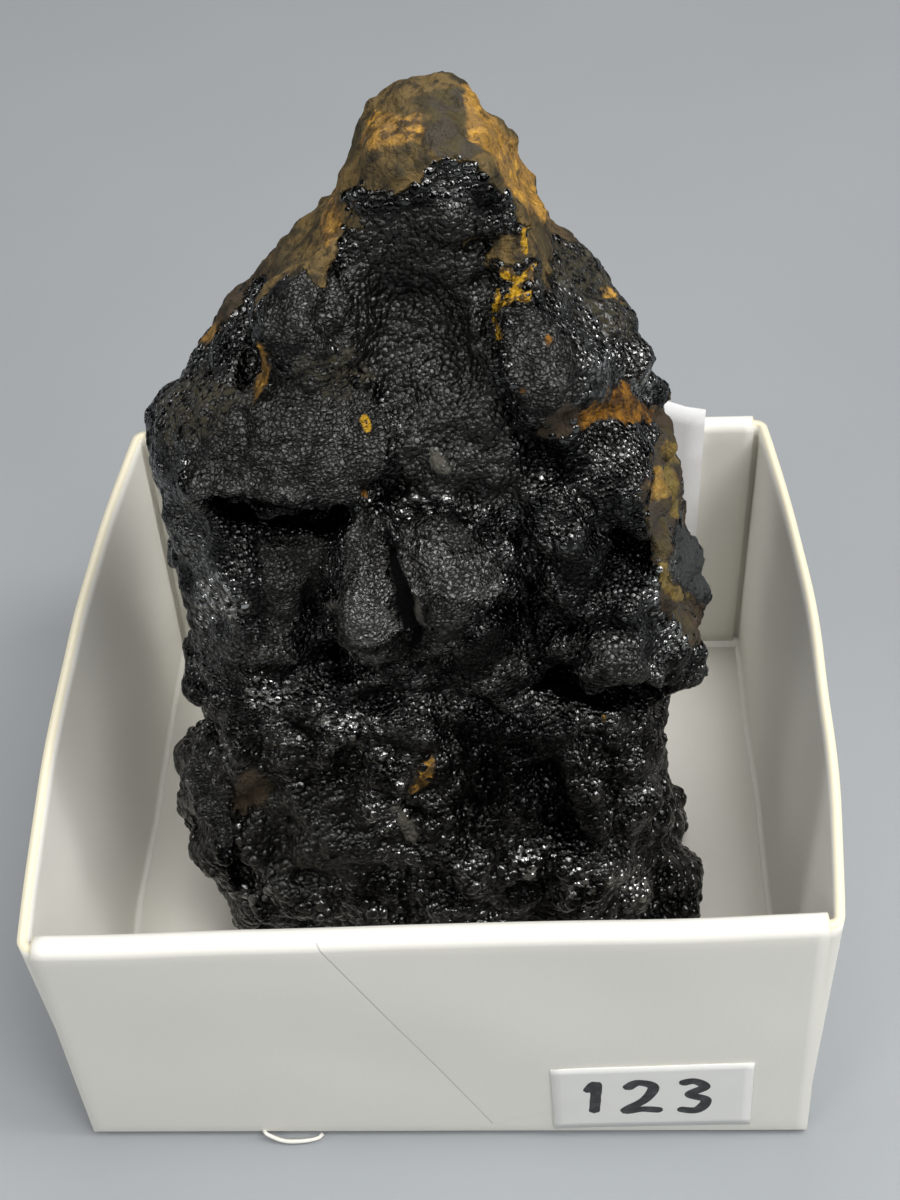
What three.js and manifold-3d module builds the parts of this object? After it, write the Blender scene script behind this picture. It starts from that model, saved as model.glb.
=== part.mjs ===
// A goethite specimen standing in its small folded card tray, with a number sticker on the tray's
// front and a blank label card kept behind the stone.
// Millimetres, +Z up. The viewer stands at -Y, +X is to the right, and the origin is the middle of
// the tray's underside.

import * as THREE from "three";
import { mergeVertices } from "three/addons/utils/BufferGeometryUtils.js";
import Module from "manifold-3d";

// Driving dimensions of the tray
const TRAY_WIDTH = 60;
const TRAY_DEPTH = 58;
const TRAY_HEIGHT = 30;
const CARD = 0.7;
const DOUBLE_WALL = 2;
const SIDE_DROP = 0.5;
const SIDE_BOW = 1.7;
const FOLD_TAPER = 1.3;
const TAB_WIDTH = 14;
const TAB_INSET = 0.8;
const TAB_DROP = 0.8;
const TONGUE_WIDTH = 5.2;
const TONGUE_OUT = 1;
const TONGUE_X = -13;

// Driving dimensions of the paper pieces
const STICKER_WIDTH = 16.1;
const STICKER_HEIGHT = 9.7;
const STICKER_THICK = 0.15;
const STICKER_GAP = 0.05;
const STICKER_CENTRE = [16.8, 6.8];
const STICKER_TURN = 2.2;
const LABEL_LEFT = -18;
const LABEL_RIGHT = 24;
const LABEL_RIGHT_HEIGHT = 31.4;
const LABEL_HEIGHT = 33;
const LABEL_CORNER = 5.6;
const LABEL_THICK = 0.3;
const GAP = 0.3;

// Driving dimensions of the stone
const STONE_FLOOR = CARD + GAP;
const RINGS = 54;
const CAP_RINGS = 7;
const STEPS_A_SPAN = 5;
const CAP_START = 75;
const CAP_HEIGHT = 4.6;
const CAP_PEAK = [1.4, 1.6];
const PEAK_RISE = 0.15;

// The box's middle lies on the Z axis, so everything moves back by half of the tongue's reach.
const CENTRE_SHIFT = TONGUE_OUT / 2;

const wasm = await Module();
wasm.setup();

// Materials, with the colours seen in daylight
const stoneFinish = new THREE.MeshStandardMaterial({ color: 0x17181a, roughness: 0.35, metalness: 0.1 });
const cardFinish = new THREE.MeshStandardMaterial({ color: 0xe9e7e0, roughness: 0.75, metalness: 0 });
const stickerFinish = new THREE.MeshStandardMaterial({ color: 0xf1f1ec, roughness: 0.6, metalness: 0 });
const labelFinish = new THREE.MeshStandardMaterial({ color: 0xd3d3d2, roughness: 0.8, metalness: 0 });

// A geometry with only its positions, and the vertices that meet merged into one
function positionsOnly(geometry) {
  const bare = geometry.clone();
  bare.deleteAttribute("normal");
  bare.deleteAttribute("uv");
  return mergeVertices(bare, 1e-4);
}

function solid(geometry) {
  const bare = positionsOnly(geometry);
  return new wasm.Manifold(
    new wasm.Mesh({
      numProp: 3,
      vertProperties: bare.attributes.position.array,
      triVerts: new Uint32Array(bare.index.array),
    }),
  );
}

// The joined solid of several closed geometries, as one geometry
function joined(geometries) {
  const whole = geometries.map(solid).reduce((a, b) => a.add(b));
  const mesh = whole.getMesh();
  const geometry = new THREE.BufferGeometry();
  geometry.setAttribute("position", new THREE.BufferAttribute(new Float32Array(mesh.vertProperties), 3));
  geometry.setIndex(new THREE.BufferAttribute(new Uint32Array(mesh.triVerts), 1));
  geometry.computeVertexNormals();
  return geometry;
}

function box(x0, x1, y0, y1, z0, z1, steps = [1, 1, 1]) {
  const geometry = new THREE.BoxGeometry(x1 - x0, y1 - y0, z1 - z0, ...steps);
  return geometry.translate((x0 + x1) / 2, (y0 + y1) / 2, (z0 + z1) / 2);
}

// Moves every vertex of a geometry by a function of its place
function bend(geometry, move) {
  const place = geometry.attributes.position;
  const v = new THREE.Vector3();
  for (let i = 0; i < place.count; i++) {
    v.fromBufferAttribute(place, i);
    move(v);
    place.setXYZ(i, v.x, v.y, v.z);
  }
  return geometry;
}

// Tray: a single-ply side, bowed out along its rim
function traySide(side) {
  const halfWidth = TRAY_WIDTH / 2;
  const halfDepth = TRAY_DEPTH / 2 - CARD;
  const inner = side * (halfWidth - CARD);
  const outer = side * halfWidth;
  const sheet = box(
    Math.min(inner, outer),
    Math.max(inner, outer),
    -halfDepth,
    halfDepth,
    0,
    TRAY_HEIGHT - SIDE_DROP,
    [1, 16, 4],
  );
  return bend(sheet, (v) => {
    v.x += side * SIDE_BOW * (v.z / TRAY_HEIGHT) * (1 - (v.y / halfDepth) ** 2);
  });
}

// Tray: a folded end wall, two plies thick with a rounded top, narrower at its rim
function trayEnd(end) {
  const half = DOUBLE_WALL / 2;
  const profile = new THREE.Shape();
  profile.moveTo(-half, 0);
  profile.lineTo(half, 0);
  profile.lineTo(half, TRAY_HEIGHT - half);
  profile.absarc(0, TRAY_HEIGHT - half, half, 0, Math.PI, false);
  profile.closePath();
  const wall = new THREE.ExtrudeGeometry(profile, {
    depth: TRAY_WIDTH,
    bevelEnabled: false,
    curveSegments: 8,
  });
  wall.translate(0, 0, -TRAY_WIDTH / 2);
  wall.rotateX(Math.PI / 2);
  wall.rotateZ(Math.PI / 2);
  wall.translate(0, end * (TRAY_DEPTH / 2 - half), 0);
  return bend(wall, (v) => {
    v.x *= 1 - (FOLD_TAPER / (TRAY_WIDTH / 2)) * (v.z / TRAY_HEIGHT);
  });
}

// Tray: the tab by which a side turns the corner and tucks into an end wall
function trayTab(side, end) {
  const outerX = side * (TRAY_WIDTH / 2);
  const innerX = side * (TRAY_WIDTH / 2 - TAB_WIDTH);
  const outerY = end * (TRAY_DEPTH / 2 - TAB_INSET + CARD / 2);
  const innerY = end * (TRAY_DEPTH / 2 - TAB_INSET - CARD / 2);
  return box(
    Math.min(outerX, innerX),
    Math.max(outerX, innerX),
    Math.min(outerY, innerY),
    Math.max(outerY, innerY),
    0,
    TRAY_HEIGHT - TAB_DROP,
  );
}

// Tray: the half-moon tongue that locks the front wall, on the underside's plane
function trayTongue() {
  const halfMoon = new THREE.Shape();
  halfMoon.absarc(0, 0, TONGUE_WIDTH / 2, Math.PI, 2 * Math.PI, false);
  halfMoon.lineTo(TONGUE_WIDTH / 2, 1);
  halfMoon.lineTo(-TONGUE_WIDTH / 2, 1);
  halfMoon.closePath();
  const options = { depth: CARD, bevelEnabled: false, curveSegments: 12 };
  const tongue = new THREE.ExtrudeGeometry(halfMoon, options);
  tongue.scale(1, TONGUE_OUT / (TONGUE_WIDTH / 2), 1);
  return tongue.translate(TONGUE_X, -TRAY_DEPTH / 2, 0);
}

function cardTray() {
  const floor = box(
    -TRAY_WIDTH / 2 + CARD / 2,
    TRAY_WIDTH / 2 - CARD / 2,
    -TRAY_DEPTH / 2 + DOUBLE_WALL / 2,
    TRAY_DEPTH / 2 - DOUBLE_WALL / 2,
    0,
    CARD,
  );
  const pieces = [floor, trayTongue()];
  for (const sign of [-1, 1]) {
    pieces.push(traySide(sign), trayEnd(sign), trayTab(sign, -1), trayTab(sign, 1));
  }
  const mesh = new THREE.Mesh(joined(pieces), cardFinish);
  mesh.name = "card_tray";
  return mesh;
}

// Sticker: a thin paper rectangle on the front wall, a little askew
function numberSticker() {
  const paper = new THREE.BoxGeometry(STICKER_WIDTH, STICKER_THICK, STICKER_HEIGHT);
  const mesh = new THREE.Mesh(paper, stickerFinish);
  mesh.name = "number_sticker";
  mesh.position.set(
    STICKER_CENTRE[0],
    -TRAY_DEPTH / 2 - STICKER_GAP - STICKER_THICK / 2,
    STICKER_CENTRE[1],
  );
  mesh.rotation.y = THREE.MathUtils.degToRad(-STICKER_TURN);
  return mesh;
}

// Label: a blank paper card that stands on the tray's floor against the back wall. One upper corner
// is cut aslant.
function labelCard() {
  const outline = new THREE.Shape();
  outline.moveTo(LABEL_LEFT, 0);
  outline.lineTo(LABEL_RIGHT, 0);
  outline.lineTo(LABEL_RIGHT, LABEL_RIGHT_HEIGHT);
  outline.lineTo(LABEL_RIGHT - LABEL_CORNER, LABEL_HEIGHT);
  outline.lineTo(LABEL_LEFT, LABEL_HEIGHT);
  outline.closePath();
  const paper = new THREE.ExtrudeGeometry(outline, { depth: LABEL_THICK, bevelEnabled: false });
  paper.rotateX(Math.PI / 2);
  const mesh = new THREE.Mesh(paper, labelFinish);
  mesh.name = "label_card";
  mesh.position.set(0, TRAY_DEPTH / 2 - DOUBLE_WALL - GAP, CARD + GAP);
  return mesh;
}

// Stone: its width and depth at each height, before the relief: height, left, right, front, back
const STATIONS = [
  [0, -17.6, 22.2, -14.0, 10.5],
  [3.5, -18.8, 21.0, -15.3, 12.0],
  [8, -19.6, 19.4, -16.0, 13.0],
  [14, -20.4, 17.8, -16.2, 13.4],
  [19, -20.4, 17.6, -15.8, 13.4],
  [23, -19.0, 18.8, -15.2, 13.0],
  [29, -19.0, 19.8, -14.4, 12.6],
  [36, -19.2, 20.3, -13.6, 12.2],
  [43, -19.0, 19.0, -12.6, 11.4],
  [49, -18.8, 17.9, -11.6, 10.8],
  [54, -18.4, 17.0, -10.6, 10.0],
  [59, -16.2, 15.4, -9.4, 9.2],
  [64, -11.9, 11.9, -8.0, 8.2],
  [68, -8.8, 8.3, -6.7, 7.4],
  [71.5, -5.2, 7.9, -5.5, 6.6],
  [CAP_START, -4.3, 6.7, -4.2, 5.4],
];

// Stone: the plan section, from -1 to 1 across and from front to back. The broad front is nearly
// flat, the right side slants back, and the broken back is narrower.
const SECTION = [
  [-1.0, -0.3],
  [-0.94, -0.7],
  [-0.72, -0.93],
  [-0.36, -1.0],
  [0.0, -1.0],
  [0.36, -1.0],
  [0.68, -0.96],
  [0.88, -0.74],
  [1.0, -0.05],
  [0.84, 0.62],
  [0.3, 1.0],
  [-0.35, 0.98],
  [-0.86, 0.55],
];

// Stone: the lumps and hollows of one side, each with its place across the side and up it, its
// half-width, its reach up and down, its turn in degrees, how far it stands out (or in, below
// zero), how far it hangs down, and an exponent: the smaller it is, the steeper the lump's edge.
const lump = (across, height, wide, up, down, turn, rise, sag, edge) => ({
  across,
  height,
  wide,
  up,
  down,
  turn: THREE.MathUtils.degToRad(turn),
  rise,
  sag,
  edge,
});

const FRONT_LUMPS = {
  brownCap: lump(1.8, 77.4, 6, 6, 2.6, -10, 1, 0.3, 0.6),
  greatLeftLobe: lump(-9.2, 59, 6.4, 6, 3.8, 6, 3.6, 1.4, 0.6),
  leftWing: lump(-16, 59.5, 4.4, 5, 6, 0, 1.8, 0, 0.8),
  hollowBelowLobe: lump(-9.2, 53.4, 5.4, 1.8, 2.4, 5, -3.6, 0, 0.8),
  leftPanel: lump(-12.8, 46.3, 5.6, 6.4, 8, 0, 2.2, 0.4, 0.8),
  leftLens: lump(-4.2, 50, 3, 7.6, 7.4, 4, 4.6, 0.4, 0.5),
  rightLens: lump(2.6, 50, 4.4, 7, 8, 6, 4.4, 0.5, 0.6),
  brow: lump(2.2, 59, 5.4, 5, 3.2, -4, 1.5, 0.6, 0.9),
  upperChannel: lump(0, 68, 4.8, 6.5, 6, 0, -2, 0, 1.2),
  rightBlock: lump(10, 67, 4.8, 7, 6.4, -14, 3.8, 0.6, 0.5),
  dullLeftBlock: lump(-6.6, 68, 3.4, 4.6, 4, -18, 2.4, 0.6, 0.6),
  hollowLeftOfBlock: lump(-10, 64.8, 1.7, 3, 3, -16, -2.6, 0, 0.8),
  rightTab: lump(14.6, 62.6, 2, 2.8, 2.4, -10, 1.6, 0, 0.7),
  rightFace: lump(12, 52.4, 4.8, 7.6, 8, 6, 2.8, 0.4, 0.5),
  pitInRightFace: lump(13, 49.8, 2.1, 2.4, 2.2, 20, -3, 0, 0.8),
  valleyBesideLenses: lump(7.4, 47, 1.8, 6, 5, 6, -2.6, 0, 0.8),
  rightLedge: lump(15, 43.6, 5.4, 4.4, 3.6, 12, 3.6, 2.4, 0.5),
  hollowUnderLedge: lump(10.6, 38.4, 6.2, 2.4, 3, 14, -4, 0, 0.8),
  slotLeftOfLenses: lump(-7.6, 45.5, 1.4, 6, 4, -6, -3, 0, 0.8),
  pitBelowLenses: lump(-7, 39.8, 2.4, 1.8, 1.8, 0, -3.4, 0, 0.8),
  leftKnee: lump(-12.2, 35.6, 5.4, 4.4, 7, 12, 2, 0.4, 0.9),
  middleKnee: lump(-3, 34, 5.6, 4.6, 8, -8, 1.6, 0.3, 1),
  rightKnee: lump(9, 30, 5.4, 3.6, 6, 20, 1.6, 0.3, 1),
  lowerLeftLobe: lump(-17.8, 24, 4.2, 8, 9, 4, 2.4, 0.6, 0.6),
  foldBesideLobe: lump(-14.6, 19.6, 1.8, 5, 4.6, -12, -2.8, 0, 0.8),
  lowerLeftSwell: lump(-8, 23, 5, 5, 7, 30, 1.4, 0.3, 1),
  lowerMiddleSwell: lump(2, 21, 5, 5.6, 6.6, -20, 1.4, 0.3, 1),
  lowerCavity: lump(8, 24.8, 2.2, 2, 2.2, 0, -2.6, 0, 0.8),
  lowerRightSwell: lump(13.6, 20.6, 4.8, 7, 7, -24, 1.8, 0.4, 0.8),
  foot: lump(1, 11, 12, 5, 5, 2, 1, 0.3, 1),
};

const BACK_LUMPS = {
  upperSpur: lump(3, 65, 5.6, 9, 7, 12, 2.8, 0.6, 0.6),
  leftShelf: lump(-8.6, 48, 8, 9, 5, -12, 3.2, 1.6, 0.5),
  rightShelf: lump(8.6, 38, 8, 9, 5, 10, 3, 1.4, 0.5),
  hollowBetweenShelves: lump(0, 38, 4, 9, 6, 20, -2.6, 0, 0.8),
  leftFoot: lump(-10, 19, 8, 10, 7, 6, 2.6, 1, 0.5),
  rightFoot: lump(8, 14, 9, 9, 6, -8, 2.2, 0.8, 0.6),
};

const LEFT_LUMPS = {
  wingTip: lump(-3, 56.5, 5, 4, 5, 10, 1.6, 0.6, 0.6),
  smallSpike: lump(-4, 44.4, 1.6, 1.6, 1.6, 0, 1.6, 0, 0.8),
  notchOverLobe: lump(-4, 29, 5, 3.4, 4, 0, -1.4, 0, 1),
  lowerLobeSide: lump(-3.2, 18.6, 6, 5.2, 8, 0, 2.5, 0.6, 0.6),
};

const RIGHT_LUMPS = {
  brokenEdge: lump(-5, 52, 2.2, 8, 8, 0, -1.4, 0, 0.8),
  backLobe: lump(1.4, 35.6, 4.2, 4.4, 4.6, 10, 1.6, 0.8, 0.5),
  ledgeTip: lump(-9, 38.4, 3, 3, 2.6, 0, 2.2, 1, 0.6),
  notchUnderLedge: lump(-7, 31, 6, 3.4, 6, 0, -1.2, 0, 1),
  footCorner: lump(-8.5, 3.4, 4.5, 5, 5, 0, 2, 0, 0.8),
};

// Stone: the four sides, each with its lumps, the way that it faces and the axis across it
const SIDES = [
  { lumps: Object.values(FRONT_LUMPS), facing: new THREE.Vector3(0, -1, 0), across: "x" },
  { lumps: Object.values(BACK_LUMPS), facing: new THREE.Vector3(0, 1, 0), across: "x" },
  { lumps: Object.values(LEFT_LUMPS), facing: new THREE.Vector3(-1, 0, 0), across: "y" },
  { lumps: Object.values(RIGHT_LUMPS), facing: new THREE.Vector3(1, 0, 0), across: "y" },
];

// Stone: open cracks of the front, as places across and up, with half-width and depth
const CRACKS = {
  betweenLenses: { path: [[-2.8, 58], [-1.8, 52.5], [-0.2, 45.4]], half: 1.1, deep: 4.6 },
  besideRightBlock: { path: [[4.8, 71.5], [5.0, 66], [6.2, 60.8]], half: 1.2, deep: 3 },
};

// Stone: the rough grain at three scales, the packed buds at two, and how far the lumps' edges wander
const GRAIN = [
  { size: 11, rise: 1 },
  { size: 5.2, rise: 0.5 },
  { size: 2.6, rise: 0.5 },
];
const BUDS = [
  { size: 5.2, rise: 0.5 },
  { size: 3, rise: 0.5 },
];
const WANDER = 0.9;
const WANDER_SIZE = 3.6;
const DOWN_PULL = 0.16;

// Stone: a side's lumps fade in where the surface turns this far towards that side, and the relief
// is shallow at the foot and whole this far above it
const TURN_START = 0.1;
const TURN_FULL = 0.7;
const FRONT_FADE = 0.2;
const FOOT_SHARE = 0.35;
const FOOT_HEIGHT = 2.5;

// Large odd numbers that scatter the hash's bits
const HASH_PRIMES = [374761393, 668265263, 2147483647, 1274126177, 2246822519];

// A number from 0 to 1 that depends only on three whole numbers and a seed
function hash(i, j, k, seed) {
  let h = Math.imul(i, HASH_PRIMES[0]) ^ Math.imul(j, HASH_PRIMES[1]);
  h ^= Math.imul(k, HASH_PRIMES[2]) ^ Math.imul(seed, HASH_PRIMES[3]);
  h = Math.imul(h ^ (h >>> 13), HASH_PRIMES[3]);
  h = Math.imul(h ^ (h >>> 16), HASH_PRIMES[4]);
  return ((h ^ (h >>> 15)) >>> 0) / 2 ** 32;
}

function smooth(t) {
  return t * t * (3 - 2 * t);
}

function lerp(a, b, t) {
  return a + (b - a) * t;
}

// Smooth noise from -1 to 1
function noise(x, y, z, seed) {
  const [i, j, k] = [Math.floor(x), Math.floor(y), Math.floor(z)];
  const [u, v, w] = [smooth(x - i), smooth(y - j), smooth(z - k)];
  const edge = (dj, dk) => lerp(hash(i, j + dj, k + dk, seed), hash(i + 1, j + dj, k + dk, seed), u);
  const face = (dk) => lerp(edge(0, dk), edge(1, dk), v);
  return 2 * lerp(face(0), face(1), w) - 1;
}

// Rounded buds packed side by side: 1 on a bud's top, 0 in the creases
function buds(x, y, z, seed) {
  const [i, j, k] = [Math.floor(x), Math.floor(y), Math.floor(z)];
  let nearest = 4;
  for (let a = -1; a <= 1; a++) {
    for (let b = -1; b <= 1; b++) {
      for (let c = -1; c <= 1; c++) {
        const [p, q, r] = [i + a, j + b, k + c];
        const dx = p + hash(p, q, r, seed) - x;
        const dy = q + hash(p, q, r, seed + 1) - y;
        const dz = r + hash(p, q, r, seed + 2) - z;
        nearest = Math.min(nearest, dx * dx + dy * dy + dz * dz);
      }
    }
  }
  return Math.sqrt(Math.max(0, 1 - nearest));
}

function domeAt({ across, height, wide, up, down, turn, edge }, x, z) {
  const dx = x - across;
  const dz = z - height;
  const sideways = (dx * Math.cos(turn) + dz * Math.sin(turn)) / wide;
  const along = -dx * Math.sin(turn) + dz * Math.cos(turn);
  const upward = along / (along > 0 ? up : down);
  const inside = 1 - sideways * sideways - upward * upward;
  return inside > 0 ? inside ** edge : 0;
}

function crackAt(crack, x, z) {
  let nearest = Infinity;
  for (let n = 0; n + 1 < crack.path.length; n++) {
    const from = new THREE.Vector2(...crack.path[n]);
    const to = new THREE.Vector2(...crack.path[n + 1]);
    const way = to.clone().sub(from);
    const here = new THREE.Vector2(x, z).sub(from);
    const t = THREE.MathUtils.clamp(here.dot(way) / way.lengthSq(), 0, 1);
    nearest = Math.min(nearest, here.distanceTo(way.multiplyScalar(t)));
  }
  return Math.max(0, 1 - nearest / crack.half);
}

// Left, right, front and back of the stone at a height, between two stations
function stationAt(height) {
  const above = STATIONS.findIndex((s) => s[0] >= height);
  const upper = STATIONS[Math.max(1, above)];
  const lower = STATIONS[Math.max(1, above) - 1];
  const t = (height - lower[0]) / (upper[0] - lower[0]);
  return [1, 2, 3, 4].map((n) => lerp(lower[n], upper[n], t));
}

// Points of the plain stone, ring by ring, from the base to the last ring under the peak
function plainRings() {
  const curve = new THREE.CatmullRomCurve3(
    SECTION.map(([x, y]) => new THREE.Vector3(x, y, 0)),
    true,
    "centripetal",
  );
  const steps = SECTION.length * STEPS_A_SPAN;
  const unit = Array.from({ length: steps }, (_, n) => curve.getPoint(n / steps));
  const rings = [];
  const addRing = (height, [left, right, front, back], shrink) => {
    rings.push(
      unit.map((u) => {
        const x = lerp(left, right, (u.x + 1) / 2);
        const y = lerp(front, back, (u.y + 1) / 2);
        return new THREE.Vector3(lerp(CAP_PEAK[0], x, shrink), lerp(CAP_PEAK[1], y, shrink), height);
      }),
    );
  };
  for (let n = 0; n < RINGS; n++) {
    const height = (CAP_START * n) / RINGS;
    addRing(STONE_FLOOR + height, stationAt(height), 1);
  }
  for (let n = 0; n < CAP_RINGS; n++) {
    const angle = (Math.PI / 2) * (n / CAP_RINGS);
    addRing(STONE_FLOOR + CAP_START + CAP_HEIGHT * Math.sin(angle), stationAt(CAP_START), Math.cos(angle));
  }
  return rings;
}

// Outward direction at a point of the rings, from its four neighbours
function outward(rings, r, s) {
  const count = rings[r].length;
  const around = rings[r][(s + 1) % count].clone().sub(rings[r][(s + count - 1) % count]);
  const upper = rings[Math.min(r + 1, rings.length - 1)][s];
  const lower = rings[Math.max(r - 1, 0)][s];
  return around.cross(upper.clone().sub(lower)).normalize();
}

// Moves the front's nearest column of points onto each crack, so that the crack's bottom is one line
function gatherAtCracks(rings) {
  for (const { path } of Object.values(CRACKS)) {
    for (const ring of rings) {
      const height = ring[0].z;
      const n = path.findIndex((place, at) => at > 0 && height <= path[at - 1][1] && height >= place[1]);
      if (n < 0) continue;
      const t = (path[n - 1][1] - height) / (path[n - 1][1] - path[n][1]);
      const x = lerp(path[n - 1][0], path[n][0], t);
      const front = ring.filter((point) => point.y < 0);
      front.sort((a, b) => Math.abs(a.x - x) - Math.abs(b.x - x))[0].x = x;
    }
  }
  return rings;
}

// A point of the plain stone moved to the real, knobbly surface
function carved(point, out) {
  const { x, y, z } = point;
  const wander = (seed) => WANDER * noise(x / WANDER_SIZE, y / WANDER_SIZE, z / WANDER_SIZE, seed);
  const wandered = { x: x + wander(51), y: y + wander(52), z: z + wander(53) };
  let rise = 0;
  let sag = 0;
  for (const { lumps, facing, across } of SIDES) {
    const share = THREE.MathUtils.smoothstep(out.dot(facing), TURN_START, TURN_FULL);
    if (share === 0) continue;
    for (const one of lumps) {
      const dome = share * domeAt(one, wandered[across], wandered.z);
      rise += dome * one.rise;
      sag += dome * one.sag;
    }
  }
  const frontShare = smooth(THREE.MathUtils.clamp(FRONT_FADE - out.y, 0, 1));
  for (const crack of Object.values(CRACKS)) {
    rise -= frontShare * crack.deep * crackAt(crack, x, z);
  }
  GRAIN.forEach((grain, n) => {
    rise += grain.rise * noise(x / grain.size, y / grain.size, z / grain.size, 11 + n);
  });
  BUDS.forEach((bud, n) => {
    rise += bud.rise * (1.6 * buds(x / bud.size, y / bud.size, z / bud.size, 31 + 4 * n) - 1);
  });
  const foot = THREE.MathUtils.smoothstep(z, STONE_FLOOR, STONE_FLOOR + FOOT_HEIGHT);
  const moved = point.clone().addScaledVector(out, rise * lerp(FOOT_SHARE, 1, foot));
  moved.z = Math.max(STONE_FLOOR, moved.z - foot * (sag + DOWN_PULL * Math.max(0, rise)));
  return moved;
}

// The stone: rings of points joined by triangles, with a flat base and a closed peak
function goethiteMass() {
  const plain = gatherAtCracks(plainRings());
  const rings = plain.map((ring, r) =>
    ring.map((point, s) => (r === 0 ? point.clone() : carved(point, outward(plain, r, s)))),
  );
  const count = rings[0].length;
  const middle = (ring) => ring.reduce((sum, v) => sum.add(v), new THREE.Vector3()).divideScalar(count);
  const base = middle(rings[0]);
  const peak = middle(rings[rings.length - 1]);
  peak.z += PEAK_RISE;
  const points = rings.flat().concat([base, peak]);
  const baseIndex = points.length - 2;
  const peakIndex = points.length - 1;
  const triangles = [];
  for (let s = 0; s < count; s++) {
    const next = (s + 1) % count;
    triangles.push(baseIndex, next, s);
    for (let r = 0; r + 1 < rings.length; r++) {
      const a = r * count + s;
      const b = r * count + next;
      const c = a + count;
      const d = b + count;
      triangles.push(a, b, d, a, d, c);
    }
    const last = (rings.length - 1) * count;
    triangles.push(last + s, last + next, peakIndex);
  }
  const geometry = new THREE.BufferGeometry().setFromPoints(points);
  geometry.setIndex(triangles);
  geometry.computeVertexNormals();
  const mesh = new THREE.Mesh(geometry, stoneFinish);
  mesh.name = "goethite_mass";
  return mesh;
}

const specimen = new THREE.Group();
specimen.name = "goethite_specimen";
specimen.add(cardTray(), numberSticker(), labelCard(), goethiteMass());
specimen.position.y = CENTRE_SHIFT;

export default specimen;
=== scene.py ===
"""A goethite specimen standing in its small folded card tray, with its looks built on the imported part.

Shapes are worked out in millimetres and written to Blender in metres. The viewer stands at -Y.
Marks on the stone's front are placed by the pixel at which they show in a frame of 900 by 1200.
"""

import math

import bmesh
import bpy
import numpy as np
from mathutils import Matrix, Vector, kdtree, noise


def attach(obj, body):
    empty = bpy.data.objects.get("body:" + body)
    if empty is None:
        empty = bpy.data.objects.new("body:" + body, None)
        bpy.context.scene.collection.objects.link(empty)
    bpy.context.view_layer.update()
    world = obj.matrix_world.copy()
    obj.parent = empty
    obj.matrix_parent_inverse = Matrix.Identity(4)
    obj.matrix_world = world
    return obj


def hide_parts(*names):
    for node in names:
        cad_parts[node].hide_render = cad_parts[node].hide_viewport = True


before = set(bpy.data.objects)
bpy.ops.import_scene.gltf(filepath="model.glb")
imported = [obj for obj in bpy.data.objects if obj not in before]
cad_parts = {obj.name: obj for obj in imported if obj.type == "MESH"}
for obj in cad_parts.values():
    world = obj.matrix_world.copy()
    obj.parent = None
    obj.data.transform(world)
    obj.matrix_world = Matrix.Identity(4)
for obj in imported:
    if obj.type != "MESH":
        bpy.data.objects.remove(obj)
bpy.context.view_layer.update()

MM = 0.001
SEED = 7
# How wide the crease round a bud is, as a share of its size, and how far a mark's field reaches
BUD_EDGE = 0.55
MARK_REACH = 2

# The photograph's frame and the camera that fits it
PHOTO_WIDTH, PHOTO_HEIGHT = 900, 1200
SENSOR_HEIGHT = 36
FOCAL_PIXELS = 1809.3
EYE = (7.34, -103.07, 139.93)
CAMERA_PITCH, CAMERA_YAW, CAMERA_ROLL = 45.377, -3.502, -3.331

# The tray: one folded sheet of card. The row's frame has it half a tongue further back.
TRAY_WIDTH, TRAY_DEPTH, TRAY_HEIGHT = 60, 58, 30
ROW_SHIFT = 0.5
CARD = 0.7
FOLD_RADIUS = 0.65
SIDE_DROP = 0.5
SIDE_BOW = 1.7
FOLD_TAPER = 1.3
TAB_WIDTH = 14
TAB_INSET = 0.9
TONGUE_WIDTH = 4.9
TONGUE_OUT = 0.8
TONGUE_X = -13
BEND = 0.85
CREASE = ((-8.3, 30.4), (3.9, 1.9))
LEAN_OUT, LEAN_ASIDE = 1.8, 0.45
FLOOR_TUCK = 0.3
SIDE_RIPPLE, END_RIPPLE = 0.25, 0.22
TONGUE_RINGS = ((0.55, 0.0), (0.75, 0.1), (0.95, 0.3))
TONGUE_LIFT = 0.7
THIN_CARD = 0.28
CUT_BAND = 1.5
FRAY_NOWHERE, CREASE_NOWHERE = -5, 9

# Paper: the sticker with its number in felt pen, and the label behind the stone
STICKER_WIDTH, STICKER_HEIGHT = 16.1, 9.7
STICKER_CENTRE = (16.8, 6.8)
STICKER_TURN = 2.2
STICKER_THICK = 0.1
STICKER_GAP = 0.06
STICKER_OUT, CORNER_OUT = 0.05, 0.04
PEN_WIDTH = 0.95
INK_OUT, INK_ROUND = 0.135, 0.03
INK_LINES = (-1, -0.8, 0, 0.8, 1)
LABEL_LEFT, LABEL_RIGHT = -18, 24
LABEL_HEIGHT, LABEL_RIGHT_HEIGHT = 33, 31.4
LABEL_CORNER = 5.6
LABEL_BEND = 0.35
LABEL_INSET = 2.55
LABEL_FOOT = 1.0
# Each stroke: its points as shares of its box, then the box's low left corner and its size
NUMBER_STROKES = (
    ([(0.15, 0.72), (0.5, 1.0), (0.47, 0.5), (0.4, 0.0)], (-5.6, -2.4), (2.2, 4.8)),
    ([
        (0.05, 0.78), (0.35, 1.0), (0.75, 0.85), (0.55, 0.42), (0.05, 0.04), (0.5, 0.08), (1.0, 0.02)
    ], (-2.3, -2.3), (3.2, 4.7)),
    ([
        (0.1, 0.92), (0.5, 1.0), (0.8, 0.8), (0.4, 0.56), (0.85, 0.36), (0.6, 0.02), (0.05, 0.08)
    ], (1.9, -2.4), (2.9, 4.8)),
)

# The stone's mesh, and its foot, which is pressed flat on the tray's floor
STONE_VOXEL = 0.412
STONE_FOOT = 0.75
FOOT_PRESSED = 0.96

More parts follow.
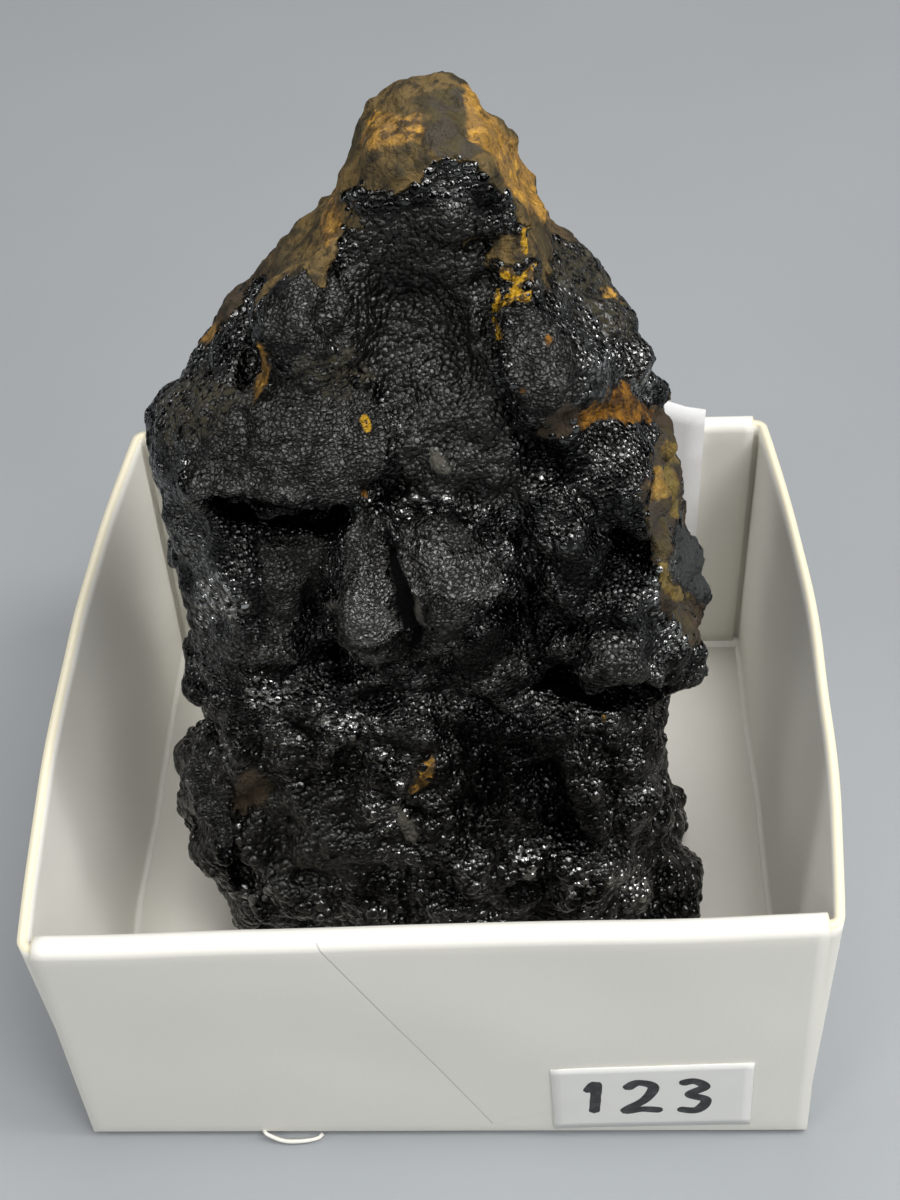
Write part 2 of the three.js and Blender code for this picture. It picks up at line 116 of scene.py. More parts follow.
# The beads: widths, and the shape of a dome as shares of its radius
FINE_BEAD, COARSE_BEAD = 0.38, 0.72
BEAD_TRIES = 6.5
MOST_BEADS = 25000
BEAD_PIECES = 4
LOWEST_BEAD = 1.5
BEAD_SIDES = 6
BEAD_RINGS = ((1.05, 0.0), (0.86, 0.28), (0.5, 0.8))
BEAD_SUNK = 0.3
BEAD_RADIUS, BEAD_LENGTH, BEAD_HEIGHT = (0.5, 0.68), (0.9, 1.15), (0.06, 0.22)
COARSE_BEAD_HEIGHT = 0.12


# Meshes and small numeric helpers


def in_millimetres(mesh):
    """The places and normals of a mesh's vertices as two arrays, the places in millimetres."""
    places = np.empty(len(mesh.vertices) * 3, np.float32)
    normals = np.empty(len(mesh.vertices) * 3, np.float32)
    mesh.vertices.foreach_get("co", places)
    mesh.vertices.foreach_get("normal", normals)
    return places.reshape(-1, 3).astype(float) / MM, normals.reshape(-1, 3).astype(float)


def set_places(mesh, places):
    mesh.vertices.foreach_set("co", (places * MM).astype(np.float32).ravel())
    mesh.update()


def set_field(mesh, name, values):
    """Keeps one number for each vertex under a name that a material can read."""
    field = mesh.attributes.new(name, "FLOAT", "POINT")
    field.data.foreach_set("value", values.astype(np.float32))


def set_mark(mesh, name, values):
    """The same for a mark on the stone, which fades out within a short reach."""
    set_field(mesh, name, np.clip(values, -MARK_REACH, MARK_REACH))


def new_piece(name, mesh, *materials):
    piece = bpy.data.objects.new(name, mesh)
    bpy.context.scene.collection.objects.link(piece)
    for material in materials:
        mesh.materials.append(material)
    return piece


def mesh_of(name, places, faces):
    """A smooth-shaded mesh from places in millimetres and lists of their numbers."""
    mesh = bpy.data.meshes.new(name)
    mesh.from_pydata((np.asarray(places, float) * MM).tolist(), [], faces)
    mesh.polygons.foreach_set("use_smooth", [True] * len(mesh.polygons))
    return mesh


def settle(piece):
    """Applies a piece's modifiers to its mesh."""
    graph = bpy.context.evaluated_depsgraph_get()
    settled = bpy.data.meshes.new_from_object(piece.evaluated_get(graph))
    piece.modifiers.clear()
    piece.data = settled
    settled.polygons.foreach_set("use_smooth", [True] * len(settled.polygons))
    settled.name = piece.name
    return piece


def on_body(piece, slot, *nodes):
    """The piece rides on the part's one body, and stands for these CAD nodes."""
    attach(piece, "root")
    if nodes:
        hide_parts(*nodes)
    return piece


def smooth_step(values, low, high):
    t = np.clip((values - low) / (high - low), 0, 1)
    return t * t * (3 - 2 * t)


def grain_field(places, size, seed):
    """Smooth noise from -1 to 1 at every place, with lumps of this size."""
    shift = Vector((seed * 17.3, seed * 5.1, seed * 9.7))
    return np.array([noise.noise(Vector(p) / size + shift) for p in places])


def bud_field(places, size, seed):
    """Rounded buds packed side by side, 1 higher on top than in the creases, and 0 on average."""
    shift = Vector((seed * 11.9, seed * 7.7, seed * 3.3))
    distances = np.array([noise.voronoi(Vector(p) / size + shift)[0][:2] for p in places])
    inward = np.clip((distances[:, 1] - distances[:, 0]) / BUD_EDGE, 0, 1)
    dome = 1 - (1 - inward) ** 2
    return dome - dome.mean()


def warp(places, size, amount, seed):
    """The places, each moved by smooth noise, so that what is laid over them looks grown."""
    drift = np.stack([grain_field(places, size, seed + n) for n in range(3)], axis=1)
    return places + amount * drift


def facet_field(places, size, seed):
    """Broken facets: flat patches packed side by side, each with a tilt of its own."""
    shift = Vector((seed * 4.7, seed * 13.1, seed * 6.3))
    values = []
    for place in places:
        spot = Vector(place) / size + shift
        middle = noise.voronoi(spot)[1][0]
        values.append((spot - middle).dot(noise.cell_vector(middle * 7) * 2 - Vector((1, 1, 1))))
    return np.array(values)


def line_distance(places, path):
    """The distance from every place to a line through these points."""
    nearest = np.full(len(places), np.inf)
    for start, end in zip(path[:-1], path[1:]):
        start, end = np.array(start, float), np.array(end, float)
        way = end - start
        along = np.clip(((places - start) @ way) / (way @ way), 0, 1)
        nearest = np.minimum(nearest, np.linalg.norm(places - start - along[:, None] * way, axis=1))
    return nearest


# The camera's directions, which also say where a place of the stone shows


def camera_axes():
    pitch, yaw, roll = (math.radians(a) for a in (CAMERA_PITCH, CAMERA_YAW, CAMERA_ROLL))
    ahead = Vector((math.sin(yaw) * math.cos(pitch), math.cos(yaw) * math.cos(pitch), -math.sin(pitch)))
    level = Vector((math.cos(yaw), -math.sin(yaw), 0))
    upright = level.cross(ahead)
    right = math.cos(roll) * level + math.sin(roll) * upright
    up = -math.sin(roll) * level + math.cos(roll) * upright
    return right, up, ahead


HIDDEN_FADE = 8
RAGGED = 0.9
CRISP_RAGGED = 0.3


class Seen:
    """Where the places of a surface show in the photograph's frame, and how far they face its camera."""

    def __init__(self, places, normals, ragged=RAGGED):
        right, up, ahead = (np.array(axis) for axis in camera_axes())
        offset = places - np.array(EYE)
        depth = offset @ ahead
        self.pixels_a_millimetre = FOCAL_PIXELS / depth
        across = PHOTO_WIDTH / 2 + self.pixels_a_millimetre * (offset @ right)
        down = PHOTO_HEIGHT / 2 - self.pixels_a_millimetre * (offset @ up)
        self.pixels = np.stack((across, down), axis=1)
        for size, share in ((3.2, ragged), (1.1, ragged / 2)):
            drift = np.stack((grain_field(places, size, 21), grain_field(places, size, 22)), axis=1)
            self.pixels += drift * (share * self.pixels_a_millimetre)[:, None]
        self.facing = -np.einsum("ij,ij->i", normals, offset) / np.linalg.norm(offset, axis=1)
        self.hidden = HIDDEN_FADE * np.clip(-self.facing, 0, 1)

    def line(self, path, half):
        """1 on a line through these pixels, 0 half a width in millimetres from it, then below 0."""
        away = line_distance(self.pixels, path) / self.pixels_a_millimetre
        return 1 - (away + self.hidden) / half

    def patch(self, outline):
        """How far inside an outline of pixels each place is, in millimetres, and below 0 outside."""
        closed = list(outline) + [outline[0]]
        away = line_distance(self.pixels, closed) / self.pixels_a_millimetre
        x, y = self.pixels.T
        inside = np.zeros(len(x), bool)
        for (x0, y0), (x1, y1) in zip(closed[:-1], closed[1:]):
            if y0 != y1:
                inside ^= ((y0 > y) != (y1 > y)) & (x < x0 + (y - y0) * (x1 - x0) / (y1 - y0))
        return np.where(inside, away, -away) - self.hidden


# Grooves of the stone's front: the pixels they run through, half-width and depth in millimetres
GROOVES = {
    "crack between the lenses": ([(386, 500), (390, 528), (395, 556)], 0.25, 0.8),
    "under the great left lobe": ([(212, 502), (240, 506), (290, 510), (343, 514)], 0.95, 4.0),
    "left of the left lens": ([(334, 612), (338, 640), (346, 680)], 0.5, 1.2),
    "beside the right block": ([(495, 290), (500, 330), (505, 380), (508, 425)], 0.45, 1.6),
    "below the right lens": ([(425, 668), (460, 655), (485, 628), (512, 605)], 0.6, 1.4),
    "beside the left block": ([(246, 300), (250, 328), (246, 352), (238, 384)], 0.6, 1.2),
    "pit in the right face": ([(602, 540), (625, 548), (642, 556)], 1.4, 2.0),
    "beside the slate lobe": ([(670, 532), (669, 558), (676, 585), (696, 606)], 0.45, 0.9),
    "under the right ledge": ([(545, 672), (590, 684), (650, 697)], 1.4, 2.8),
    "right of the right lens": ([(459, 487), (486, 533), (514, 572)], 0.5, 1.0),
    "under the shelf": ([(410, 512), (435, 509), (462, 514)], 0.45, 0.8),
    "cavity low on the right": ([(540, 780), (556, 815), (572, 850)], 1.9, 2.4),
    "cleft beside the low left lobe": ([(246, 812), (234, 850), (250, 885)], 1.1, 2.2),
    "fold low in the middle": ([(300, 885), (380, 878), (450, 890)], 1.4, 1.3),
    "fold above the knees": ([(360, 705), (430, 700), (500, 715)], 1.2, 1.2),
    "hollow of the upper channel": ([(330, 275), (322, 320), (345, 345)], 1.0, 1.2),
    "over the gold": ([(478, 250), (484, 290), (492, 330)], 0.9, 1.4),
    "across the right face": ([(556, 470), (580, 500), (600, 540)], 0.8, 1.4),
    "low right fold": ([(590, 745), (620, 790), (625, 850)], 1.3, 1.5),
    "low middle cleft": ([(455, 745), (470, 800), (462, 850)], 1.1, 1.5),
}

# Lips of the stone's front in the same way, with a height, which is below 0 where the stone is trimmed
LIPS = {
    "shelf": ([(411, 500), (435, 496), (458, 502)], 0.7, 0.6),
    "right side of the crack": ([(412, 585), (424, 605), (428, 632)], 0.6, 0.6),
    "sawtooth": ([(690, 640), (696, 660), (693, 680)], 1.0, 0.8),
    "edge of the great left lobe": ([(190, 490), (240, 496), (290, 498), (345, 505)], 1.6, 0.9),
    "edge of the right ledge": ([(550, 655), (600, 664), (655, 674)], 1.5, 0.8),
    "left edge of the strip": ([
        (652, 440), (643, 475), (640, 505), (651, 560), (660, 598), (678, 640)
    ], 0.8, 0.5),
    "foot on the right": ([(702, 868), (712, 900), (718, 935)], 3.2, 1.5),
    "trimmed top of the low left lobe": ([(180, 726), (196, 720)], 2.2, -2.2),
    "filled notch over the low left lobe": ([(204, 694), (212, 708)], 1.5, 1.0),
    "trimmed bulge over the low left lobe": ([(176, 656), (180, 690)], 1.8, -0.9),
    "trimmed left foot": ([(180, 830), (190, 862), (206, 880)], 2.6, -1.7),
    "top of the cap": ([(398, 92), (420, 80), (440, 78), (466, 86)], 2.0, 0.35),
    "filled dip of the top": ([(408, 84), (424, 80)], 1.4, 0.4),
    "filled hollow over the lenses": ([(382, 470), (386, 486), (388, 504)], 2.0, 1.1),
    "trimmed right edge of the strip": ([(688, 478), (688, 512)], 2.0, -1.0),
    "trimmed block over the small lobe": ([(652, 336), (658, 352)], 1.6, -1.5),
    "top of the small lobe": ([(648, 366), (655, 373)], 1.4, 0.7),
    "trimmed end of the right ledge": ([(712, 660), (710, 682)], 1.8, -1.2),
    "trimmed edge beside the small lobe": ([(665, 365), (673, 388), (671, 410)], 2.4, -2.0),
    "trimmed left shoulder of the top": ([(362, 98), (385, 82), (405, 74)], 3.0, -0.8),
    "trimmed right shoulder of the top": ([(492, 98), (510, 118), (526, 146), (538, 172)], 3.2, -1.0),
    "left edge of the right block": ([(508, 310), (514, 345), (518, 385)], 1.0, 0.9),
    "left edge of the left block": ([(268, 300), (272, 330), (268, 352)], 1.0, 0.7),
}

# The open part of the crack between the lenses, which is cut once the solid's wider cracks are filled
GAP = [
    (384, 530), (388, 552), (393, 575), (397, 600), (404, 622), (408, 642), (412, 653), (422, 648),
    (420, 625), (413, 598), (404, 572), (395, 546), (391, 530)
]
GAP_DEPTH = 3.4
CRACK_BACK = 6
# Each crack of the solid: its path across and up, half its width, and how far forward it is filled
SOLID_CRACKS = (
    (((-2.8, 56.9), (-2.1, 53.1), (-0.2, 44.9)), 1.1, 4.6),
    (((4.8, 71.2), (4.4, 68), (5.2, 64.1), (6.1, 60)), 1.2, 2.6),
)

# Lumps of the stone's front: outline, then height and width of the rounded shoulder in millimetres
MOUNDS = {
    "left lens": ([
        (350, 512), (390, 504), (402, 535), (408, 573), (415, 611), (417, 640), (402, 655), (367, 661),
        (346, 650), (331, 607), (336, 573), (343, 535)
    ], 1.2, 2.2),
    "right lens": ([
        (378, 516), (463, 512), (486, 539), (503, 554), (512, 583), (503, 598), (459, 627), (436, 674),
        (412, 653), (399, 598), (386, 562)
    ], 1.0, 3.2),
    "left block": ([
        (258, 290), (290, 268), (335, 276), (352, 310), (340, 350), (300, 372), (264, 352)
    ], 0.9, 2.4),
    "right block": ([
        (512, 305), (535, 300), (570, 345), (590, 395), (560, 425), (520, 425), (510, 350)
    ], 0.9, 2.6),
}

# The brown rind, and the ochre, gold, rust and pale marks on it and on the crust
RIND = {
    "top": [
        (340, 190), (347, 196), (357, 186), (374, 189), (396, 193), (419, 186), (428, 172), (438, 163),
        (450, 161), (462, 158), (474, 167), (481, 174), (489, 189), (505, 196), (515, 206), (526, 226),
        (600, 240), (600, 20), (300, 20), (300, 160)
    ],
    "tongue": [
        (300, 160), (347, 190), (352, 211), (366, 227), (352, 232), (338, 222), (326, 262), (318, 286),
        (296, 282), (272, 288), (256, 280), (232, 318), (204, 345), (180, 330), (240, 200)
    ],
    "right block": [(485, 262), (500, 232), (545, 226), (560, 236), (545, 258), (520, 262), (505, 258)],
    "beside the rust": [(540, 432), (545, 408), (572, 400), (576, 428)],
    "right strip": [
        (650, 467), (653, 440), (670, 425), (690, 460), (690, 505), (680, 528), (671, 530), (668, 548),
        (672, 573), (682, 590), (698, 603), (712, 598), (714, 622), (703, 634), (697, 646), (690, 650),
        (680, 640), (668, 618), (661, 590), (652, 563), (648, 530), (642, 500)
    ],
    "low brown spot": [(238, 774), (256, 768), (270, 782), (268, 806), (252, 818), (238, 808)],
}
OCHRE = {
    "top left": [
        (363, 122), (373, 110), (392, 113), (405, 119), (420, 115), (424, 130), (420, 147), (408, 141),
        (392, 147), (374, 150), (362, 143)
    ],
    "top right": [
        (462, 86), (474, 84), (490, 104), (505, 130), (518, 150), (533, 178), (545, 205), (546, 222),
        (526, 210), (508, 188), (496, 166), (484, 146), (466, 128)
    ],
    "left shoulder": [(334, 192), (343, 202), (337, 225), (330, 250), (325, 246), (321, 214)],
    "left outline": [(196, 344), (204, 322), (222, 318), (214, 336)],
    "left of the block": [
        (258, 341), (264, 347), (272, 368), (269, 381), (260, 391), (246, 406), (253, 386), (256, 364)
    ],
    "right strip": [(651, 470), (662, 465), (675, 471), (675, 499), (648, 500)],
    "top of the strip": [(663, 440), (675, 444), (679, 464), (668, 464), (661, 452)],
    "beside the taupe": [(670, 499), (679, 499), (679, 520), (672, 521)],
    "right strip, low": [(655, 564), (667, 563), (675, 586), (692, 603), (672, 597), (660, 584)],
    "edge of the olive lump": [(604, 286), (614, 288), (622, 304), (614, 302)],
    "flake": [(429, 751), (434, 762), (434, 778), (424, 790), (412, 795), (413, 780), (418, 762)],
}
VEIN = [
    (541, 262), (533, 266), (524, 272), (519, 280), (513, 285), (507, 292), (503, 301), (498, 306),
    (506, 307), (515, 300), (524, 303), (532, 298), (533, 284), (534, 272)
]
GOLD = {
    "bar on top": ([(514, 228), (529, 227)], 0.15),
    "down from the bar": ([(521, 229), (526, 251)], 0.2),
    "nugget beside the vein": ([(505, 270), (511, 271), (513, 277)], 0.38),
    "tail": ([(498, 290), (495, 316), (501, 338)], 0.22),
    "spot": ([(363, 419), (368, 431)], 0.28),
    "speck low on the right": ([(603, 716), (607, 720)], 0.22),
}
RUST = {
    "patch": [
        (575, 428), (578, 412), (591, 403), (607, 397), (613, 384), (621, 379), (629, 384), (635, 397),
        (650, 405), (655, 413), (647, 427), (639, 419), (626, 429), (618, 419), (607, 421), (597, 424)
    ],
    "speck by the tail": [(543, 334), (550, 336), (554, 346), (546, 344)],
    "speck low on the block": [(518, 388), (527, 389), (525, 396), (518, 394)],
    "speck over the lenses": [(363, 492), (369, 491), (370, 497), (364, 499)],
}
PALE = {
    "grey oval": [(428, 452), (437, 445), (446, 458), (450, 474), (440, 474), (430, 464)],
    "beige flake": [(391, 812), (402, 808), (416, 822), (419, 838), (410, 842), (400, 828)],
    "crack's lip": [(413, 590), (419, 600), (428, 628), (424, 634), (417, 610)],
    "speck left of the lens": [(324, 596), (334, 600), (337, 612), (328, 608)],
    "slate lobe": [
        (674, 526), (692, 530), (705, 545), (716, 570), (722, 596), (716, 606), (698, 602), (682, 589),
        (673, 573), (670, 544)
    ],
}
# Taupe and mauve parts of the rind
STRIP = {
    "taupe": [(642, 502), (668, 501), (672, 521), (668, 548), (666, 563), (655, 566), (648, 533)],
    "mauve": [(662, 594), (677, 598), (695, 625), (697, 638), (690, 642), (675, 622)],
    "top": [(658, 430), (672, 428), (678, 452), (677, 467), (650, 468)],
    "middle of the cap": [
        (432, 88), (460, 90), (476, 122), (484, 150), (468, 160), (440, 158), (428, 140), (431, 110)
    ],
}
# Where the crust is dull
DULL = {
    "channel": [(350, 215), (480, 205), (495, 300), (490, 400), (390, 410), (345, 300)],
    "low left": [(240, 790), (360, 790), (380, 870), (290, 900), (240, 860)],
    "middle": [(400, 400), (500, 400), (520, 500), (400, 500)],
    "right ledge": [(590, 640), (640, 636), (650, 672), (600, 676)],
}
# Where the crust has no beads, only a fine leathery skin
SKIN = {
    "left lens": MOUNDS["left lens"][0],
    "right lens": MOUNDS["right lens"][0],
    "left block": [(250, 285), (290, 262), (340, 270), (362, 310), (350, 360), (300, 385), (258, 360)],
    "right block": [(499, 305), (530, 300), (570, 335), (596, 400), (560, 430), (512, 428), (505, 350)],
    "left lobe": [
        (160, 425), (215, 395), (262, 380), (340, 370), (372, 405), (395, 450), (372, 495), (345, 512),
        (190, 502), (165, 470)
    ],
    "left panel": [(262, 530), (320, 532), (335, 560), (325, 610), (270, 640), (262, 600)],
    "right of the block": [
        (545, 238), (590, 240), (640, 300), (640, 335), (605, 330), (580, 300), (550, 290)
    ],
    "gap between the lenses": GAP,
    "low left lobe": [(178, 745), (215, 740), (235, 790), (232, 880), (205, 850)],
}
# The paler middle of the smooth lumps, their own satin grey; on the right lens it keeps to the lower band, as
# a painted highlight there
LENS = {
    "left lens": [
        (352, 560), (362, 520), (380, 515), (388, 545), (393, 580), (400, 615), (400, 640), (392, 655),
        (370, 655), (352, 640), (342, 610)
    ],
    "right lens": [
        (398, 540), (430, 545), (470, 560), (500, 560), (512, 583), (503, 598), (470, 600), (440, 612),
        (418, 600), (404, 575)
    ],
}
# Where the black crust reaches round to the broken side
WHOLE = {
    "small lobe": [(634, 350), (676, 350), (690, 400), (668, 412), (650, 402)],
    "slate lobe": PALE["slate lobe"],
}
# Where the crust is dusted with olive
DUST = {
    "left wing": [(160, 400), (200, 370), (240, 390), (215, 440), (170, 440)],
    "right of the block": [
        (540, 236), (590, 238), (645, 300), (645, 335), (600, 330), (575, 300), (545, 285)
    ],
    "over the left lobe": [(300, 370), (350, 340), (370, 370), (330, 400)],
}
# Painted highlights: patches where the crust's reflection is raised, so that glints gather there; the white
# dot is a pale speck given the same raised reflection
GLINT = {
    "left edge": [(196, 584), (215, 572), (240, 580), (250, 604), (234, 626), (206, 622)],
    "right edge": [(640, 568), (656, 560), (672, 588), (684, 614), (668, 622), (648, 612)],
    "right edge, low": [(664, 632), (682, 632), (688, 654), (670, 656)],
    "facets at the top right": [(588, 302), (608, 298), (620, 322), (610, 345), (592, 335)],
    "facet below those": [(584, 346), (602, 346), (606, 366), (588, 370)],
    "small lobe": [(636, 378), (654, 376), (656, 396), (640, 396)],
    "white dot": [(380, 756), (388, 750), (398, 756), (390, 762)],
    "shelf over the right lens": [(408, 497), (440, 494), (457, 500), (440, 508), (412, 508)],
    "right face": [(540, 536), (554, 533), (560, 545), (546, 550)],
    "low middle band": [(322, 716), (378, 712), (388, 738), (332, 744)],
    "beside the flake": [(396, 770), (410, 774), (408, 800), (396, 790)],
    "low left ledge": [(244, 676), (280, 682), (300, 704), (280, 716), (250, 700)],
    "low middle, left": [(366, 816), (380, 812), (388, 822), (376, 830)],
    "low middle": [(508, 846), (530, 838), (556, 848), (552, 868), (526, 876), (510, 864)],
    "low middle, right": [(562, 876), (582, 872), (592, 892), (572, 900)],
    "low right": [(606, 866), (640, 864), (656, 888), (630, 896), (608, 884)],
}
# Painted shade: patches where the crust's reflection is lowered, so it stays dark where shade falls in
# hollows, pits and under ledges
PAINTED_SHADE = {
    "slot under the left lobe": [(208, 494), (345, 506), (350, 524), (205, 514)],
    "pit of the right face": [
        (598, 530), (640, 520), (652, 545), (642, 566), (650, 585), (626, 596), (606, 572)
    ],
    "under the right ledge": [
        (540, 662), (575, 668), (612, 680), (668, 688), (660, 704), (600, 704), (544, 684)
    ],
    "low right of the middle": [
        (455, 716), (520, 712), (560, 745), (600, 830), (586, 850), (540, 820), (470, 800)
    ],
    "over the right face": [(526, 436), (560, 430), (584, 444), (590, 470), (560, 486), (534, 474)],
    "beside the shelf": [(448, 506), (470, 512), (466, 530), (448, 524)],
    "below the lenses": [(430, 668), (480, 640), (510, 612), (520, 640), (490, 664), (440, 684)],
    "left of the left lens": [(322, 640), (336, 640), (350, 680), (336, 690)],
    "left of the left block": [(226, 360), (244, 352), (250, 380), (236, 402)],
    "low left foot": [(212, 840), (236, 846), (250, 890), (222, 890)],
    "gap between the lenses": GAP,
}

# The marks whose edges wander most and the ones whose edges are crisp
RAGGED_MARKS = {"rind": RIND, "dull": DULL, "dust": DUST, "skin": SKIN, "lens": LENS, "glint": GLINT}
# The deep field carries the painted shade
RAGGED_MARKS["deep"] = PAINTED_SHADE
CRISP_MARKS = {"ochre": OCHRE, "rust": RUST, "pale": PALE, "strip": STRIP}
# The skin ends where the stone turns away from the viewer
SKIN_FACING, SKIN_TURN = 0.45, 12

# Lumps all over the stone: size, seed, height, and extra height low down and on the right
LUMPS = ((6.0, 11, 0.5, 0.7), (3.3, 12, 0.25, 0.45))
# Where the stone is lumpy, and where the cap is calm again, in millimetres up and across
LUMPY_LOW = (32, 40)
LUMPY_RIGHT, LUMPY_RIGHT_TOP = (4, 8), (60, 64)
CALM_TOP, CALMED = (60, 70), 0.75

# The edge of the broken side: its place in depth, and how that shifts across and with the height
BREAK_Y, BREAK_SLANT, BREAK_WANDER = 3, 0.2, 3
BREAK_HIGH, BREAK_HIGH_SHIFT = (52, 66), 4
BREAK_LOW, BREAK_LOW_SHIFT = (26, 40), 5
CAP_EDGE, CAP_TURN, CAP_FACING, CAP_FOOT = (68, 72), 6, 0.3, 69

# Heights between which beads turn from coarse to fine, and where the coarse ones under the rind start
BEADS_TURN_FINE = (8, 48)
UNDER_RIND, UNDER_RIND_FROM = (-3.5, -1), (56, 62)


def largest(fields):
    return np.max(list(fields), axis=0)


# The stone


def stone_start():
    """The CAD stone, rounded and subdivided into a finer mesh."""
    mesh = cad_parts["goethite_mass"].data.copy()
    shape = bmesh.new()
    shape.from_mesh(mesh)
    bmesh.ops.remove_doubles(shape, verts=shape.verts, dist=1e-6)
    shape.to_mesh(mesh)
    shape.free()
    mesh.materials.clear()
    piece = new_piece("goethite_stone", mesh)
    rounding = piece.modifiers.new("rounding", "SUBSURF")
    rounding.levels = 2
    return settle(piece)


def carve(piece):
    """Fills the solid's cracks, cuts the front's grooves and raises its lips and lumps."""
    places, normals = in_millimetres(piece.data)
    for path, half, deep in SOLID_CRACKS:
        crack = [(x, 0, z) for x, z in path]
        beside = line_distance(places * (1, 0, 1), crack) / half
        front = (normals[:, 1] < 0) | (beside < 0.5)
        places[:, 1] -= deep * np.clip(1 - beside, 0, 1) * front * (places[:, 1] < CRACK_BACK)
    seen = Seen(places, normals, CRISP_RAGGED)
    rise = -GAP_DEPTH * smooth_step(seen.patch(GAP), -0.1, 0.5)
    uneven = 1 + 0.6 * grain_field(places, 2.6, 31)
    for path, half, deep in GROOVES.values():
        rise -= deep * uneven * smooth_step(seen.line(path, half), 0, 0.8)
    for path, half, high in LIPS.values():
        rise += high * smooth_step(seen.line(path, half), 0, 1)
    x, _, z = places.T
    low = 1 - smooth_step(z, *LUMPY_LOW)
    right = smooth_step(x, *LUMPY_RIGHT) * (1 - smooth_step(z, *LUMPY_RIGHT_TOP))
    lumpy = np.maximum(low, right)
    warped = warp(places, 4, 1.3, 44)
    calm = 1 - CALMED * smooth_step(z, *CALM_TOP)
    for size, seed, high, extra in LUMPS:
        rise += calm * (high + extra * lumpy) * bud_field(warped, size, seed)
    for outline, high, shoulder in MOUNDS.values():
        rise += high * np.sqrt(np.clip(seen.patch(outline) / shoulder, 0, 1))
    set_places(piece.data, places + normals * rise[:, None])


def even_out(piece):
    even = piece.modifiers.new("even", "REMESH")
    even.mode = "VOXEL"
    even.voxel_size = STONE_VOXEL * MM
    soft = piece.modifiers.new("soft", "SMOOTH")
    soft.iterations = 2
    settle(piece)


def paint(piece):
    """Finds each kind of surface on the stone, as fields in millimetres that are above 0 inside."""
    places, normals = in_millimetres(piece.data)
    seen = Seen(places, normals)
    crisp = Seen(places, normals, CRISP_RAGGED)
    x, y, z = places.T
    wander = grain_field(places, 7, 3) + 0.5 * grain_field(places, 2.6, 16)
    sideways = CAP_TURN * smooth_step(z, *CAP_EDGE) * (CAP_FACING - seen.facing)
    broken = y - (BREAK_Y - BREAK_SLANT * x) + BREAK_WANDER * wander
    broken = broken - BREAK_HIGH_SHIFT * smooth_step(z, *BREAK_HIGH)
    broken = broken - BREAK_LOW_SHIFT * (1 - smooth_step(z, *BREAK_LOW))
    lines = [half * crisp.line(path, half) for path, half in GOLD.values()]
    whole = largest(crisp.patch(outline) for outline in WHOLE.values())
    fields = {
        "broken": np.minimum(np.maximum(broken, sideways - MARK_REACH * (z < CAP_FOOT)), -3 * whole),
        "gold": largest(lines + [crisp.patch(VEIN)]),
        "gap": crisp.patch(GAP),
    }
    for view, kinds in ((seen, RAGGED_MARKS), (crisp, CRISP_MARKS)):
        for name, outlines in kinds.items():
            fields[name] = largest(view.patch(outline) for outline in outlines.values())
    fields["skin"] -= SKIN_TURN * np.clip(SKIN_FACING - seen.facing, 0, 1)
    for name, values in fields.items():
        set_mark(piece.data, name, values)
    return fields


def bud(piece, fields):
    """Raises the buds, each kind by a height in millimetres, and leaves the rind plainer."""
    places, normals = in_millimetres(piece.data)
    bare = smooth_step(np.maximum(fields["rind"], fields["broken"]), -0.4, 0.6)
    dull = smooth_step(fields["dull"], -0.6, 0.8)
    skin = smooth_step(fields["skin"], -0.6, 0.6)
    lively = (1 - 0.75 * bare) * (1 - 0.7 * skin)
    patchy = np.clip(0.75 + 0.9 * grain_field(places, 6, 9), 0.2, 1.5)
    warped = warp(places, 1.8, 0.5, 41)
    rise = 0.4 * lively * patchy * bud_field(warped, 2.3, 1)
    rise += 0.28 * lively * dull * bud_field(warped, 1.3, 2)
    rise += 0.6 * lively * grain_field(warped, 3.0, 4)
    rise += 0.25 * np.maximum(skin, bare) * grain_field(places, 1.2, 10)
    rise += (0.07 * skin + 0.2 * bare) * grain_field(places, 0.8, 7)
    rise += 0.35 * bare * grain_field(places, 2.4, 5)
    rise += 0.45 * skin * facet_field(warped, 2.6, 8)
    rise += 0.18 * smooth_step(fields["gold"], -0.3, 0.2)
    rise += 0.2 * smooth_step(fields["ochre"], -0.3, 0.3) * (0.5 + grain_field(places, 0.9, 6))
    rise += 0.3 * smooth_step(fields["pale"], -0.3, 0.3)
    places = places + normals * rise[:, None]
    places[:, 2] -= FOOT_PRESSED * np.minimum(places[:, 2] - STONE_FOOT, 0)
    set_places(piece.data, places)


# The beads of the crust


